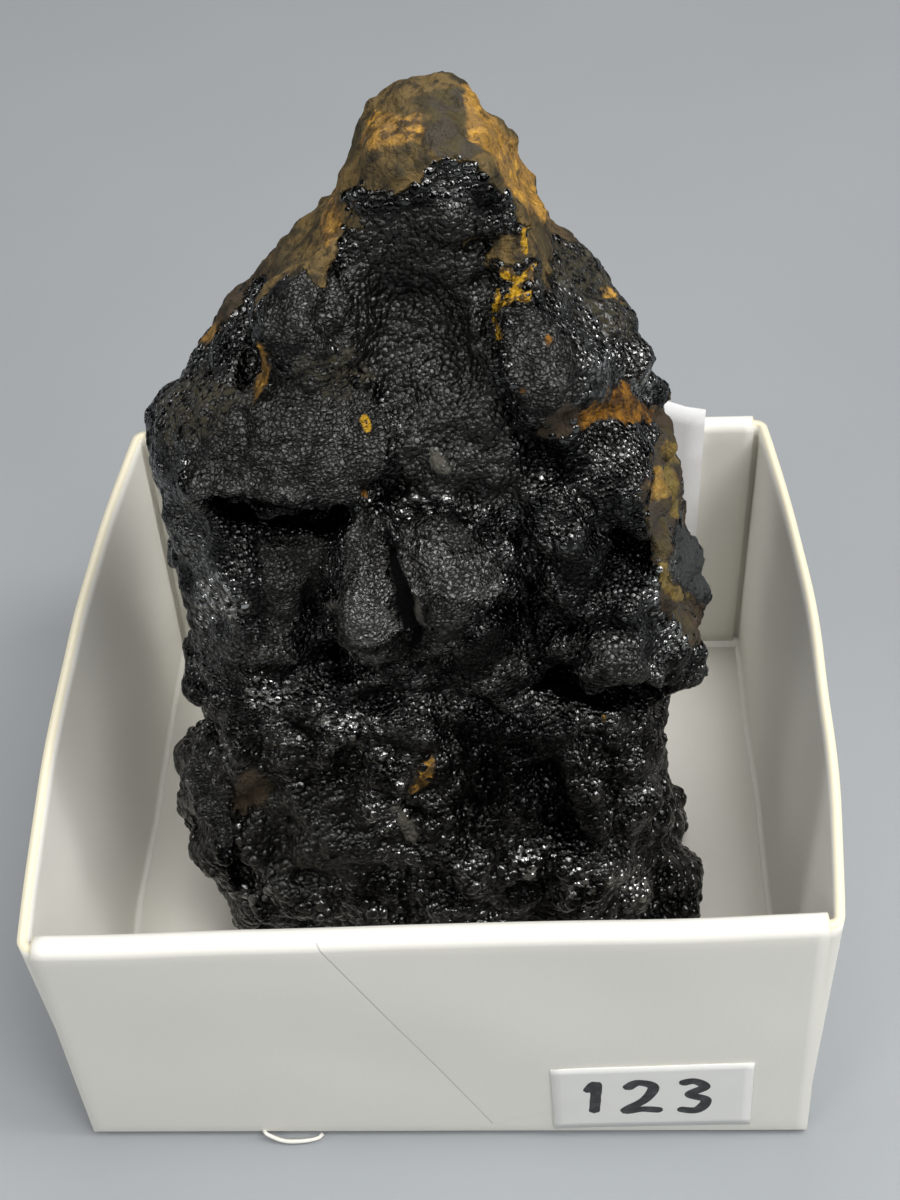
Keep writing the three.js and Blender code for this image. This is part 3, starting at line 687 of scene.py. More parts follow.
def bead_places(piece, fields):
    """Picks spots on the black crust that keep a bead's width from each other."""
    mesh = piece.data
    mesh.calc_loop_triangles()
    corners = np.empty(len(mesh.loop_triangles) * 3, np.int32)
    mesh.loop_triangles.foreach_get("vertices", corners)
    corners = corners.reshape(-1, 3)
    places, normals = in_millimetres(mesh)
    a, b, c = (places[corners[:, n]] for n in range(3))
    area = 0.5 * np.linalg.norm(np.cross(b - a, c - a), axis=1)
    plain = ("rind", "broken", "ochre", "gold", "rust", "pale", "skin", "strip")
    bare = np.maximum.reduce([fields[name] for name in plain]) + 0.25 * grain_field(places, 1.5, 15)
    crust = 1 - smooth_step(bare, -0.2, 0.0)
    coarse = 1 - smooth_step(places[:, 2], *BEADS_TURN_FINE) + 0.3 * grain_field(places, 5, 12)
    under_rind = smooth_step(fields["rind"], *UNDER_RIND) * smooth_step(places[:, 2], *UNDER_RIND_FROM)
    coarse = np.clip(coarse + 0.35 * under_rind + 0.4 * smooth_step(fields["glint"], -0.5, 0.5), 0, 1)
    chance = np.random.default_rng(SEED)
    weight = area * crust[corners].mean(axis=1)
    tries = int(BEAD_TRIES * weight.sum() / FINE_BEAD**2)
    picked = chance.choice(len(area), size=tries, p=weight / weight.sum())
    u, v = chance.random(tries), chance.random(tries)
    flip = u + v > 1
    u[flip], v[flip] = 1 - u[flip], 1 - v[flip]
    shares = np.stack((1 - u - v, u, v), axis=1)[:, :, None]
    spots = (places[corners[picked]] * shares).sum(axis=1)
    facing = (normals[corners[picked]] * shares).sum(axis=1)
    facing /= np.linalg.norm(facing, axis=1)[:, None]
    share = (coarse[corners[picked]] * shares[:, :, 0]).sum(axis=1)
    patchy = 1 + 0.4 * (grain_field(places, 2.4, 14)[corners[picked]] * shares[:, :, 0]).sum(axis=1)
    width = (FINE_BEAD + (COARSE_BEAD - FINE_BEAD) * share) * patchy * chance.uniform(0.65, 1.35, tries)
    tree = kdtree.KDTree(tries)
    for n, spot in enumerate(spots):
        tree.insert(spot, n)
    tree.balance()
    free = np.ones(tries, bool)
    kept = []
    for n in range(tries):
        if free[n]:
            kept.append(n)
            for _, other, _ in tree.find_range(spots[n], width[n]):
                free[other] = False
    kept = np.array(kept[:MOST_BEADS])
    marks = {}
    for name in ("dull", "dust", "glint", "deep"):
        marks[name] = (fields[name][corners[picked[kept]]] * shares[kept, :, 0]).sum(axis=1)
    return spots[kept], facing[kept], width[kept], share[kept], marks


def bead_meshes(spots, facing, width, coarse, marks):
    """Domes on the spots, as joined meshes of equal count, one after another around the stone."""
    chance = np.random.default_rng(SEED + 1)
    count = len(spots)
    angles = 2 * math.pi * np.arange(BEAD_SIDES) / BEAD_SIDES
    template = [(r * math.cos(a), r * math.sin(a), h) for r, h in BEAD_RINGS for a in angles] + [(0, 0, 1.0)]
    sunk = np.array([-BEAD_SUNK] * BEAD_SIDES + [0] * (len(template) - BEAD_SIDES))
    faces = []
    for n in range(BEAD_SIDES):
        after = (n + 1) % BEAD_SIDES
        for ring in (0, BEAD_SIDES):
            faces.append((ring + n, ring + after, ring + BEAD_SIDES + after, ring + BEAD_SIDES + n))
        faces.append((2 * BEAD_SIDES + n, 2 * BEAD_SIDES + after, 3 * BEAD_SIDES))
    helper = np.where(np.abs(facing[:, 2:3]) < 0.9, [[0, 0, 1]], [[1, 0, 0]])
    side = np.cross(facing, helper)
    side /= np.linalg.norm(side, axis=1)[:, None]
    other = np.cross(facing, side)
    turn = chance.uniform(0, 2 * math.pi, (count, 1))
    side, other = side * np.cos(turn) + other * np.sin(turn), other * np.cos(turn) - side * np.sin(turn)
    radius = width[:, None] * chance.uniform(*BEAD_RADIUS, (count, 1))
    long = chance.uniform(*BEAD_LENGTH, (count, 1))
    tall = chance.uniform(*BEAD_HEIGHT, (count, 1)) + COARSE_BEAD_HEIGHT * coarse[:, None]
    shape = np.array(template)
    places = spots[:, None] + (radius * long * side)[:, None] * shape[None, :, 0:1]
    places = places + (radius / long * other)[:, None] * shape[None, :, 1:2]
    rise = radius * (tall * shape[None, :, 2] + sunk[None, :])
    places = places + facing[:, None] * rise[:, :, None]
    around = np.argsort(np.arctan2(spots[:, 1], spots[:, 0]))
    around = around[spots[around, 2] > LOWEST_BEAD]
    meshes = []
    for group in np.array_split(around, BEAD_PIECES):
        shown = places[group].reshape(-1, 3)
        firsts = range(0, len(shown), len(shape))
        numbers = [tuple(first + corner for corner in face) for first in firsts for face in faces]
        mesh = mesh_of("bead_crust", shown, numbers)
        for name, values in marks.items():
            set_mark(mesh, name, np.repeat(values[group], len(shape)))
        meshes.append(mesh)
    return meshes


# Materials


class Look:
    """A material that is put together node by node, with sizes in millimetres."""

    def __init__(self, name, **constants):
        self.material = bpy.data.materials.new(name)
        self.material.use_nodes = True
        self.tree = self.material.node_tree
        self.shader = self.tree.nodes["Principled BSDF"]
        for socket, value in constants.items():
            self.shader.inputs[socket.replace("_", " ")].default_value = value
        self.place = self.node("ShaderNodeTexCoord").outputs["Object"]

    def node(self, kind, inputs=(), **settings):
        made = self.tree.nodes.new(kind)
        for name, value in settings.items():
            setattr(made, name, value)
        for socket, value in dict(inputs).items():
            if isinstance(value, bpy.types.NodeSocket):
                self.tree.links.new(value, made.inputs[socket])
            else:
                made.inputs[socket].default_value = value
        return made

    def grain(self, size, detail=3.0, rough=0.6, stretch=None):
        """Noise from 0 to 1 with lumps of this size."""
        place = self.place
        if stretch:
            place = self.node("ShaderNodeMapping", {"Vector": place, "Scale": stretch}).outputs[0]
        values = {"Vector": place, "Scale": 1 / (size * MM), "Detail": detail, "Roughness": rough}
        return self.node("ShaderNodeTexNoise", values).outputs["Fac"]

    def drifted(self, size, amount):
        """The place, moved this many millimetres by noise."""
        values = {"Vector": self.place, "Scale": 1 / (size * MM), "Detail": 2.0}
        drift = self.node("ShaderNodeTexNoise", values).outputs["Color"]
        scaled = {0: drift, 1: (amount * MM,) * 3, 2: self.place}
        return self.node("ShaderNodeVectorMath", scaled, operation="MULTIPLY_ADD").outputs[0]

    def cells(self, size, feature="F1", rough=1.0, place=None):
        """Distance to the nearest of scattered points, a size apart."""
        values = {"Vector": place or self.place, "Scale": 1 / (size * MM), "Randomness": rough}
        return self.node("ShaderNodeTexVoronoi", values, feature=feature).outputs["Distance"]

    def sum(self, a, b, scale=1.0):
        """a + b * scale"""
        return self.node("ShaderNodeMath", {0: b, 1: scale, 2: a}, operation="MULTIPLY_ADD").outputs[0]

    def times(self, a, b):
        return self.node("ShaderNodeMath", {0: a, 1: b}, operation="MULTIPLY").outputs[0]

    def ramp(self, value, low, high, start=0.0, end=1.0):
        values = {"Value": value, "From Min": low, "From Max": high, "To Min": start, "To Max": end}
        return self.node("ShaderNodeMapRange", values, interpolation_type="SMOOTHSTEP").outputs[0]

    def mix(self, a, b, share):
        """One colour into another."""
        values = {0: share, 6: colour(a), 7: colour(b)}
        return self.node("ShaderNodeMix", values, data_type="RGBA").outputs[2]

    def blend(self, a, b, share):
        """One number into another."""
        return self.node("ShaderNodeMix", {0: share, 2: a, 3: b}, data_type="FLOAT").outputs[0]

    def most(self, *values):
        whole = values[0]
        for value in values[1:]:
            whole = self.node("ShaderNodeMath", {0: whole, 1: value}, operation="MAXIMUM").outputs[0]
        return whole

    def along(self, axis):
        """How far along an axis the place is, in metres."""
        return self.node("ShaderNodeSeparateXYZ", {0: self.place}).outputs[axis]

    def field(self, name):
        return self.node("ShaderNodeAttribute", attribute_name=name).outputs["Fac"]

    def inside(self, name, ragged, amount=1.0, edge=0.15):
        """1 where a field is above 0, with a ragged edge."""
        ragged = self.sum(-0.5 * amount, ragged, amount)
        return self.ramp(self.sum(self.field(name), ragged), -edge, edge)

    def bump(self, height, depth, under=None):
        """Raises the surface by height times depth in millimetres."""
        values = {"Height": height, "Distance": depth * MM, "Strength": 1.0}
        if under:
            values["Normal"] = under
        return self.node("ShaderNodeBump", values).outputs["Normal"]

    def wear(self, **sockets):
        for name, value in sockets.items():
            self.tree.links.new(value, self.shader.inputs[name.replace("_", " ")])
        return self.material


def colour(value):
    return (*value, 1) if isinstance(value, tuple) else value


# Base colours. The black crust is done as a metal, whose colour is how strongly it reflects.
CRUST_LOW = (0.012, 0.012, 0.0117)
CRUST_HIGH = (0.054, 0.054, 0.052)
# Painted highlight and painted shade of the crust: its reflection in the glint and deep patches; the same
# black also speckles the slate lobe
CRUST_GLINT = (0.28, 0.28, 0.27)
SHADE_AND_SPECK_BLACK = (0.007, 0.007, 0.007)
DULL_CRUST = (0.040, 0.040, 0.037)
BEAD_LOW = (0.025, 0.025, 0.0245)
BEAD_HIGH = (0.145, 0.145, 0.142)
# Painted highlight and painted shade of the beads, in the same patches
BEAD_GLINT = (0.46, 0.46, 0.45)
BEAD_DULL = (0.051, 0.051, 0.047)
BEAD_PAINTED_SHADE = (0.018, 0.018, 0.018)
SKIN_LOW = (0.020, 0.020, 0.019)
SKIN_HIGH = (0.125, 0.125, 0.118)
LENS_LOW = (0.042, 0.042, 0.038)
LENS_HIGH = (0.29, 0.29, 0.27)
STRIP_TAUPE = (0.064, 0.048, 0.018)
STRIP_MAUVE = (0.050, 0.040, 0.028)
RIND_BROWN = (0.14, 0.092, 0.032)
RIND_DARK = (0.026, 0.020, 0.011)
RIND_PURPLE = (0.052, 0.036, 0.022)
TAUPE = (0.056, 0.042, 0.018)
OCHRE_TAN = (0.28, 0.155, 0.038)
OCHRE_YELLOW = (0.62, 0.33, 0.05)
OCHRE_OLIVE = (0.17, 0.130, 0.033)
OCHRE_BROWN = (0.085, 0.048, 0.014)
GOLD_YELLOW = (0.44, 0.245, 0.012)
GOLD_BROWN = (0.06, 0.034, 0.008)
RUST_ORANGE = (0.24, 0.105, 0.010)
RUST_BROWN = (0.055, 0.026, 0.007)
OLIVE = (0.042, 0.036, 0.020)
PALE_GREY = (0.068, 0.064, 0.052)
SLATE_GREY = (0.036, 0.039, 0.038)

# Colours of the card, the papers, the ink and the table, light and dark
CARD_WHITE, CARD_SHADE = (0.87, 0.85, 0.785), (0.83, 0.81, 0.745)
CREASE_SHADE_GREY = (0.52, 0.51, 0.48)
CORE_CREAM, CORE_TAN = (0.82, 0.76, 0.58), (0.66, 0.58, 0.42)
STICKER_WHITE, STICKER_SHADE = (0.89, 0.885, 0.85), (0.83, 0.825, 0.79)
STICKER_EDGE = ((0.93, 0.93, 0.92), (0.88, 0.88, 0.86))
LABEL_PAPER = ((0.83, 0.825, 0.82), (0.78, 0.775, 0.775))
LABEL_EDGE = ((0.86, 0.85, 0.85), (0.80, 0.79, 0.79))
INK_BLACK, INK_GREY = (0.012, 0.013, 0.015), (0.045, 0.047, 0.052)
TABLE_GREY, TABLE_PALE = (0.295, 0.312, 0.330), (0.332, 0.350, 0.362)
ROOM_COLOUR, ROOM_LIGHT = (0.88, 0.89, 0.88), 0.03

# Marks on the stone: how far an edge wanders and over how much it fades, in millimetres
MARK_EDGES = {
    "dull": (1.5, 0.5), "skin": (1.2, 0.3), "lens": (0.8, 0.25), "gap": (0.2, 0.1),
    "dust": (2.5, 0.8), "rind": (1.4, 0.12), "broken": (2.0, 0.2), "strip": (0.6, 0.1),
    "ochre": (1.1, 0.16), "gold": (0.5, 0.06), "rust": (0.8, 0.1), "pale": (0.4, 0.12),
}

# Roughness of the bright and the dull crust, and of each mark, one laid over another in this order
CRUST_MATT = (0.28, 0.42)
MARK_MATT = {
    "skin": 0.38, "lens": 0.22, "dust": 0.8, "bare": 0.7, "strip": 0.6,
    "ochre": 0.5, "rust": 0.8, "gold": 0.25, "pale": 0.7, "gap": 0.9,
}
PLAIN_MARKS = ("dust", "bare", "strip", "ochre", "rust", "gold", "pale")

# Places in metres up (Z) and across (X) over which the colours of the rind change
CAP_COLOUR_Z = (0.066, 0.071)
BRIGHT_OCHRE_Z, BRIGHT_OCHRE_X = (0.050, 0.062), (0.016, 0.010)
BROWN_OCHRE_X = (0.003, 0.0)
SLATE_X = (0.014, 0.017)


def lustre(look, low, high, dull):
    """The reflection of the black crust in patches, and weaker where it is dull."""
    patch = look.sum(look.times(look.grain(4.5, 2.0), 0.55), look.grain(1.8, 2.0), 0.45)
    tint = look.mix(low, high, look.ramp(patch, 0.42, 0.62))
    return look.mix(tint, dull, look.inside("dull", look.grain(1.2), 1.5, 0.5))


def lit_and_dark(look, tint, glint, deep):
    """The same with painted highlights in the glint patches and painted shade in the deep ones."""
    ragged = look.grain(1.2)
    sparkle = look.times(look.inside("glint", ragged, 1.5, 0.5), look.ramp(look.grain(0.6, 1.0), 0.46, 0.58))
    tint = look.mix(tint, glint, sparkle)
    return look.mix(tint, deep, look.inside("deep", ragged, 1.2, 0.4))


def stone_look():
    look = Look("goethite", IOR=1.32)
    fine, middle = look.grain(0.5), look.grain(1.6)
    ragged = look.sum(look.times(fine, 0.5), look.times(middle, 0.5))
    mark = {name: look.inside(name, ragged, *edge) for name, edge in MARK_EDGES.items()}
    mark["dust"] = look.times(mark["dust"], look.ramp(fine, 0.42, 0.6))
    mark["bare"] = look.most(mark["rind"], mark["broken"])

    scales = look.ramp(look.cells(0.34, "DISTANCE_TO_EDGE", place=look.drifted(0.3, 0.12)), 0.0, 0.3)
    wrinkle = look.grain(0.34, stretch=(0.6, 0.6, 1.4))
    streak = look.grain(0.8, stretch=(1, 1, 0.35))
    speck = look.ramp(look.grain(0.9), 0.55, 0.66)

    black = lustre(look, CRUST_LOW, CRUST_HIGH, DULL_CRUST)
    shine = look.ramp(look.sum(look.sum(look.times(middle, 0.6), scales, 0.25), wrinkle, 0.5), 0.55, 0.95)
    grey = look.mix(look.mix(SKIN_LOW, SKIN_HIGH, shine), look.mix(LENS_LOW, LENS_HIGH, shine), mark["lens"])
    black = lit_and_dark(look, look.mix(black, grey, mark["skin"]), CRUST_GLINT, SHADE_AND_SPECK_BLACK)
    black = look.mix(black, OLIVE, mark["dust"])
    # Painted shade: the open crack between the lenses is painted black
    black = look.mix(black, SHADE_AND_SPECK_BLACK, mark["gap"])

    brown = look.mix(RIND_BROWN, TAUPE, look.ramp(look.grain(3.2), 0.42, 0.62))
    brown = look.mix(RIND_PURPLE, brown, look.ramp(look.along("Z"), *CAP_COLOUR_Z))
    for patch in (middle, streak):
        brown = look.mix(brown, RIND_DARK, look.ramp(patch, 0.5, 0.72))
    taupe = look.mix(STRIP_TAUPE, STRIP_MAUVE, look.ramp(middle, 0.4, 0.6))

    bright = look.ramp(look.along("Z"), *BRIGHT_OCHRE_Z, start=0.1)
    bright = look.most(bright, look.ramp(look.along("X"), *BRIGHT_OCHRE_X))
    yellow = look.mix(OCHRE_TAN, OCHRE_YELLOW, look.ramp(middle, 0.44, 0.62))
    yellow = look.mix(OCHRE_OLIVE, yellow, bright)
    brownish = look.ramp(look.sum(look.times(streak, 0.6), middle, 0.4), 0.46, 0.58)
    leftness = look.ramp(look.along("X"), *BROWN_OCHRE_X, start=0.5)
    brownish = look.sum(look.times(brownish, leftness), leftness, 0.25)
    yellow = look.mix(yellow, OCHRE_BROWN, brownish)

    slate = look.ramp(look.along("X"), *SLATE_X)
    pale = look.mix(PALE_GREY, look.mix(SLATE_GREY, SHADE_AND_SPECK_BLACK, speck), slate)
    rust = look.mix(RUST_ORANGE, RUST_BROWN, look.ramp(streak, 0.38, 0.6))
    gold = look.mix(GOLD_YELLOW, GOLD_BROWN, look.ramp(fine, 0.44, 0.58))
    specks = look.times(speck, look.times(mark["bare"], 0.7))
    tint = black
    for over, share in (
        (brown, mark["bare"]),
        (taupe, mark["strip"]),
        (yellow, mark["ochre"]),
        (RIND_DARK, specks),
        (rust, mark["rust"]),
        (gold, mark["gold"]),
        (pale, mark["pale"]),
    ):
        tint = look.mix(tint, over, share)

    matt = look.blend(*CRUST_MATT, mark["dull"])
    for name, value in MARK_MATT.items():
        matt = look.blend(matt, value, mark[name])
    matt = look.sum(matt, look.sum(-0.5, fine), 0.15)
    metal = look.sum(1.0, look.most(*(mark[name] for name in PLAIN_MARKS)), -1.0)

    leather = look.sum(look.times(middle, 1.2), scales, 0.15)
    leather = look.sum(leather, wrinkle, look.blend(1.2, 2.6, mark["lens"]))
    knobs = look.sum(look.times(fine, 0.6), look.cells(0.4), -0.9)
    fibres = look.sum(look.times(look.sum(fine, middle, 1.5), 1.2), streak, 1.2)
    grit = look.blend(look.blend(knobs, leather, mark["skin"]), fibres, mark["bare"])
    return look.wear(Base_Color=tint, Metallic=metal, Roughness=matt, Normal=look.bump(grit, 0.26))


def bead_look():
    look = Look("goethite_beads")
    fine, middle, broad = look.grain(0.45), look.grain(1.6), look.grain(4)
    dull = look.ramp(look.field("dull"), -0.6, 0.6)
    dust = look.times(look.ramp(look.field("dust"), -0.8, 0.8), look.ramp(middle, 0.42, 0.62))
    tint = lit_and_dark(look, lustre(look, BEAD_LOW, BEAD_HIGH, BEAD_DULL), BEAD_GLINT, BEAD_PAINTED_SHADE)
    tint = look.mix(tint, OLIVE, dust)
    matt = look.ramp(broad, 0.35, 0.7, 0.1, 0.2)
    matt = look.blend(matt, 0.34, dull)
    matt = look.blend(matt, 0.75, dust)
    metal = look.sum(1.0, dust, -1.0)
    return look.wear(Base_Color=tint, Metallic=metal, Roughness=matt, Normal=look.bump(fine, 0.05))


def card_look():
    look = Look("tray_card", IOR=1.45)
    fibre, cloud = look.grain(0.35, 2.0), look.grain(14, 2.0)
    tint = look.mix(CARD_WHITE, CARD_SHADE, cloud)
    tint = look.mix(tint, CORE_CREAM, look.ramp(look.sum(look.field("fray"), look.grain(0.9), 0.5), 0.0, 0.1))
    # Painted shade along the crease across the front wall, beside a slight dent in the bump
    crease = look.node("ShaderNodeMath", {0: look.field("crease")}, operation="ABSOLUTE").outputs[0]
    line = look.ramp(crease, 0.11, 0.03)
    tint = look.mix(tint, CREASE_SHADE_GREY, look.times(line, 0.6))
    matt = look.ramp(fibre, 0.3, 0.7, 0.5, 0.62)
    normal = look.bump(look.sum(look.times(fibre, 0.012), line, -0.03), 1.0)
    return look.wear(Base_Color=tint, Roughness=matt, Normal=normal)


def paper_look(name, light, dark, matt=0.75, size=0.3, depth=0.015):
    """Plain paper, or a cut edge, with fibres of this size and depth in millimetres."""
    look = Look(name, Roughness=matt)
    fibre = look.grain(size)
    return look.wear(Base_Color=look.mix(light, dark, fibre), Normal=look.bump(fibre, depth))


def sticker_look():
    look = Look("sticker_paper", IOR=1.45)
    fibre, cloud = look.grain(0.3), look.grain(4, 2.0)
    tint = look.mix(STICKER_WHITE, STICKER_SHADE, cloud)
    matt = look.ramp(fibre, 0.3, 0.7, 0.42, 0.55)
    return look.wear(Base_Color=tint, Roughness=matt, Normal=look.bump(fibre, 0.008))


def ink_look():
    look = Look("felt_pen", Roughness=0.5)
    cloud = look.ramp(look.grain(0.9), 0.45, 0.65)
    return look.wear(Base_Color=look.mix(INK_BLACK, INK_GREY, cloud))


def table_look():
    look = Look("table", Roughness=0.7)
    cloud, fine = look.grain(60, 2.0), look.grain(1.2)
    return look.wear(Base_Color=look.mix(TABLE_GREY, TABLE_PALE, cloud), Normal=look.bump(fine, 0.02))


# The tray


def grid_mesh(name, grid):
    """A mesh of quads over rows of places in millimetres."""
    rows, columns = len(grid), len(grid[0])
    corners = [(r * columns + c) for r in range(rows - 1) for c in range(columns - 1)]
    faces = [(n, n + 1, n + columns + 1, n + columns) for n in corners]
    return mesh_of(name, np.array(grid, float).reshape(-1, 3), faces)


def sheet(name, grid, thick=CARD):
    """A sheet with these places in its middle, and its cut edges in the second material."""
    piece = new_piece(name, grid_mesh(name, grid))
    ply = piece.modifiers.new("ply", "SOLIDIFY")
    ply.thickness = thick * MM
    ply.offset = 0
    ply.material_offset_rim = 1
    return piece


def arc(x, y, first, last, radius, steps):
    """Places on a circle about (x, y) from one angle in degrees to another."""
    angles = np.radians(np.linspace(first, last, steps))
    return [(x + radius * math.cos(a), y + radius * math.sin(a)) for a in angles]


def wave(x, y, z, size, seed):
    return noise.noise(Vector((x, y, z)) / size + Vector((seed * 10, 0, 0)))


def front_lean(x, z):
    """How far the front wall leans out here, as a share: most at the top of its left end."""
    return (0.5 - x / TRAY_WIDTH) * z / TRAY_HEIGHT


def lean_tray(tray):
    places, _ = in_millimetres(tray.data)
    x, y, z = places.T
    share = front_lean(x, z) * np.clip(-2 * y / TRAY_DEPTH, 0, 1)
    set_places(tray.data, np.stack((x - LEAN_ASIDE * share, y - LEAN_OUT * share, z), axis=1))


def tray_side(side):
    """One side and its tabs, which turn the corners and slip in between the plies of the end walls."""
    outer = TRAY_WIDTH / 2 - CARD / 2
    tab_y = TRAY_DEPTH / 2 - TAB_INSET
    turn_y = tab_y - BEND
    tab_end = TRAY_WIDTH / 2 - TAB_WIDTH
    plan = [(x, -tab_y) for x in np.linspace(tab_end, outer - BEND, 6)[:-1]]
    plan += arc(outer - BEND, -turn_y, -90, 0, BEND, 7)
    plan += [(outer, y) for y in np.linspace(-turn_y, turn_y, 44)[1:-1]]
    plan += arc(outer - BEND, turn_y, 0, 90, BEND, 7)
    plan += [(x, tab_y) for x in np.linspace(outer - BEND, tab_end, 6)[1:]]
    foot = [(outer - x, z) for x, z in arc(outer - BEND, CARD / 2 + BEND, -82, -8, BEND, 5)]
    section = foot + [(0, z) for z in np.linspace(CARD / 2 + BEND, TRAY_HEIGHT - SIDE_DROP, 20)]
    grid = []
    for inward, z in section:
        row = []
        for x, y in plan:
            middle = max(1 - (y / turn_y) ** 2, 0)
            bow = SIDE_BOW * middle * z / TRAY_HEIGHT
            ripple = SIDE_RIPPLE * middle * wave(side * 9, y, z, 11, 1)
            row.append((side * (x + bow + ripple - inward * smooth_step(middle, 0, 0.1)), y, z))
        grid.append(row)
    return sheet("tray_side", grid)


def tray_end(end):
    """An end wall, which turns up from the floor, goes over a rounded fold and comes down inside."""
    outer = TRAY_DEPTH / 2 - CARD / 2
    top = TRAY_HEIGHT - CARD / 2 - FOLD_RADIUS
    inner = outer - 2 * FOLD_RADIUS
    rising = [(outer - 3 * BEND, CARD / 2)]
    rising += arc(outer - BEND, CARD / 2 + BEND, -90, 0, BEND, 6)
    rising += [(outer, z) for z in np.linspace(CARD / 2 + BEND, top, 28)[1:]]
    fold = arc(outer - FOLD_RADIUS, top, 0, 180, FOLD_RADIUS, 11)[1:]
    falling = [(inner, z) for z in np.linspace(top, CARD, 20)[1:]]
    narrow = TRAY_WIDTH / 2 - FOLD_TAPER
    grid = []
    for y, z in rising + fold + falling:
        half = narrow if (y, z) in falling else TRAY_WIDTH / 2 - 0.1 - (FOLD_TAPER - 0.1) * z / TRAY_HEIGHT
        row = []
        for x in np.linspace(-half, half, 60):
            ripple = END_RIPPLE * wave(x, end * 25, z, 13, 2) * min(z / 12, 1)
            row.append((x, end * (y + ripple), z))
        grid.append(row)
    return sheet("tray_end", grid)


def tray_floor():
    half_x = TRAY_WIDTH / 2 - CARD / 2 - BEND + FLOOR_TUCK
    half_y = TRAY_DEPTH / 2 - CARD / 2 - 3 * BEND
    lines = np.linspace(-half_y, half_y, 12)
    return sheet("tray_floor", [[(x, y, CARD / 2) for x in np.linspace(-half_x, half_x, 12)] for y in lines])


def tray_tongue():
    """The half-moon that locks the front wall: its rim curls up from under the front edge."""
    front = -TRAY_DEPTH / 2
    grid = []
    for out, z in TONGUE_RINGS:
        row = []
        for t in np.linspace(-1, 1, 21):
            lift = TONGUE_LIFT * smooth_step(-t, 0.2, 1.0)
            reach = out * TONGUE_OUT * math.sqrt(1 - t * t)
            row.append((TONGUE_X + t * TONGUE_WIDTH / 2, front - reach, z + 0.2 + lift))
        grid.append(row)
    return sheet("tray_tongue", grid, THIN_CARD)


def joined(name, pieces, materials):
    """One piece from several, with their modifiers applied and the row's shift in depth."""
    whole = bmesh.new()
    for piece in pieces:
        settle(piece)
        whole.from_mesh(piece.data)
        bpy.data.objects.remove(piece)
    mesh = bpy.data.meshes.new(name)
    whole.to_mesh(mesh)
    whole.free()
    mesh.polygons.foreach_set("use_smooth", [True] * len(mesh.polygons))
    mesh.transform(Matrix.Translation((0, ROW_SHIFT * MM, 0)))
    return new_piece(name, mesh, *materials)


def mark_card(tray):
    """The frayed top of the sides' cut edges, and the crease across the front wall, along which shade is
    painted.
    """
    places, _ = in_millimetres(tray.data)
    x, y, z = places.T
    side = np.abs(x) > TRAY_WIDTH / 2 - CUT_BAND
    set_field(tray.data, "fray", np.where(side, z - (TRAY_HEIGHT - SIDE_DROP), FRAY_NOWHERE))
    (x0, z0), (x1, z1) = CREASE
    length = math.hypot(x1 - x0, z1 - z0)
    across = ((x - x0) * (z1 - z0) - (z - z0) * (x1 - x0)) / length
    along = ((x - x0) * (x1 - x0) + (z - z0) * (z1 - z0)) / length
    on_front = (y < ROW_SHIFT - TRAY_DEPTH / 2 + 0.45) & (along > 0) & (along < length)
    set_field(tray.data, "crease", np.where(on_front, across, CREASE_NOWHERE))


def make_tray():
    pieces = [tray_floor(), tray_tongue()]
    for sign in (-1, 1):
        pieces += [tray_side(sign), tray_end(sign)]
    core = paper_look("card_core", CORE_CREAM, CORE_TAN, 0.85, 0.25, 0.04)
    tray = joined("folded_tray", pieces, [card_look(), core])
    mark_card(tray)
    lean_tray(tray)
    on_body(tray, "tray_card", "card_tray")


def sticker_place(u, v, out):
    """A place on the sticker from its middle, this far out from the front wall."""
    turn = math.radians(STICKER_TURN)
    x = STICKER_CENTRE[0] + u * math.cos(turn) - v * math.sin(turn)
    z = STICKER_CENTRE[1] + u * math.sin(turn) + v * math.cos(turn)
    return (x, ROW_SHIFT - TRAY_DEPTH / 2 - STICKER_GAP - out - LEAN_OUT * front_lean(x, z), z)


def make_sticker():
    grid = []
    for v in np.linspace(-STICKER_HEIGHT / 2, STICKER_HEIGHT / 2, 12):
        row = []
        for u in np.linspace(-STICKER_WIDTH / 2, STICKER_WIDTH / 2, 20):
            corner = abs(u) / (STICKER_WIDTH / 2) + abs(v) / (STICKER_HEIGHT / 2)
            row.append(sticker_place(u, v, STICKER_OUT + CORNER_OUT * smooth_step(corner, 1.6, 2)))
        grid.append(row)
    sticker = settle(sheet("sticker", grid, STICKER_THICK))
    for look in (sticker_look(), paper_look("sticker_edge", *STICKER_EDGE)):
        sticker.data.materials.append(look)
    on_body(sticker, "sticker_paper", "number_sticker")


def smooth_path(points, steps=9):
    """A Catmull-Rom curve through these points."""
    ends = [points[0]] + list(points) + [points[-1]]
    path = []
    for a, b, c, d in zip(ends[:-3], ends[1:-2], ends[2:-1], ends[3:]):
        a, b, c, d = (np.array(p, float) for p in (a, b, c, d))
        for t in np.linspace(0, 1, steps, endpoint=False):
            squared = (2 * a - 5 * b + 4 * c - d) * t**2
            cubed = (3 * b - a - 3 * c + d) * t**3
            path.append(0.5 * (2 * b + (c - a) * t + squared + cubed))
    path.append(np.array(points[-1], float))
    return path


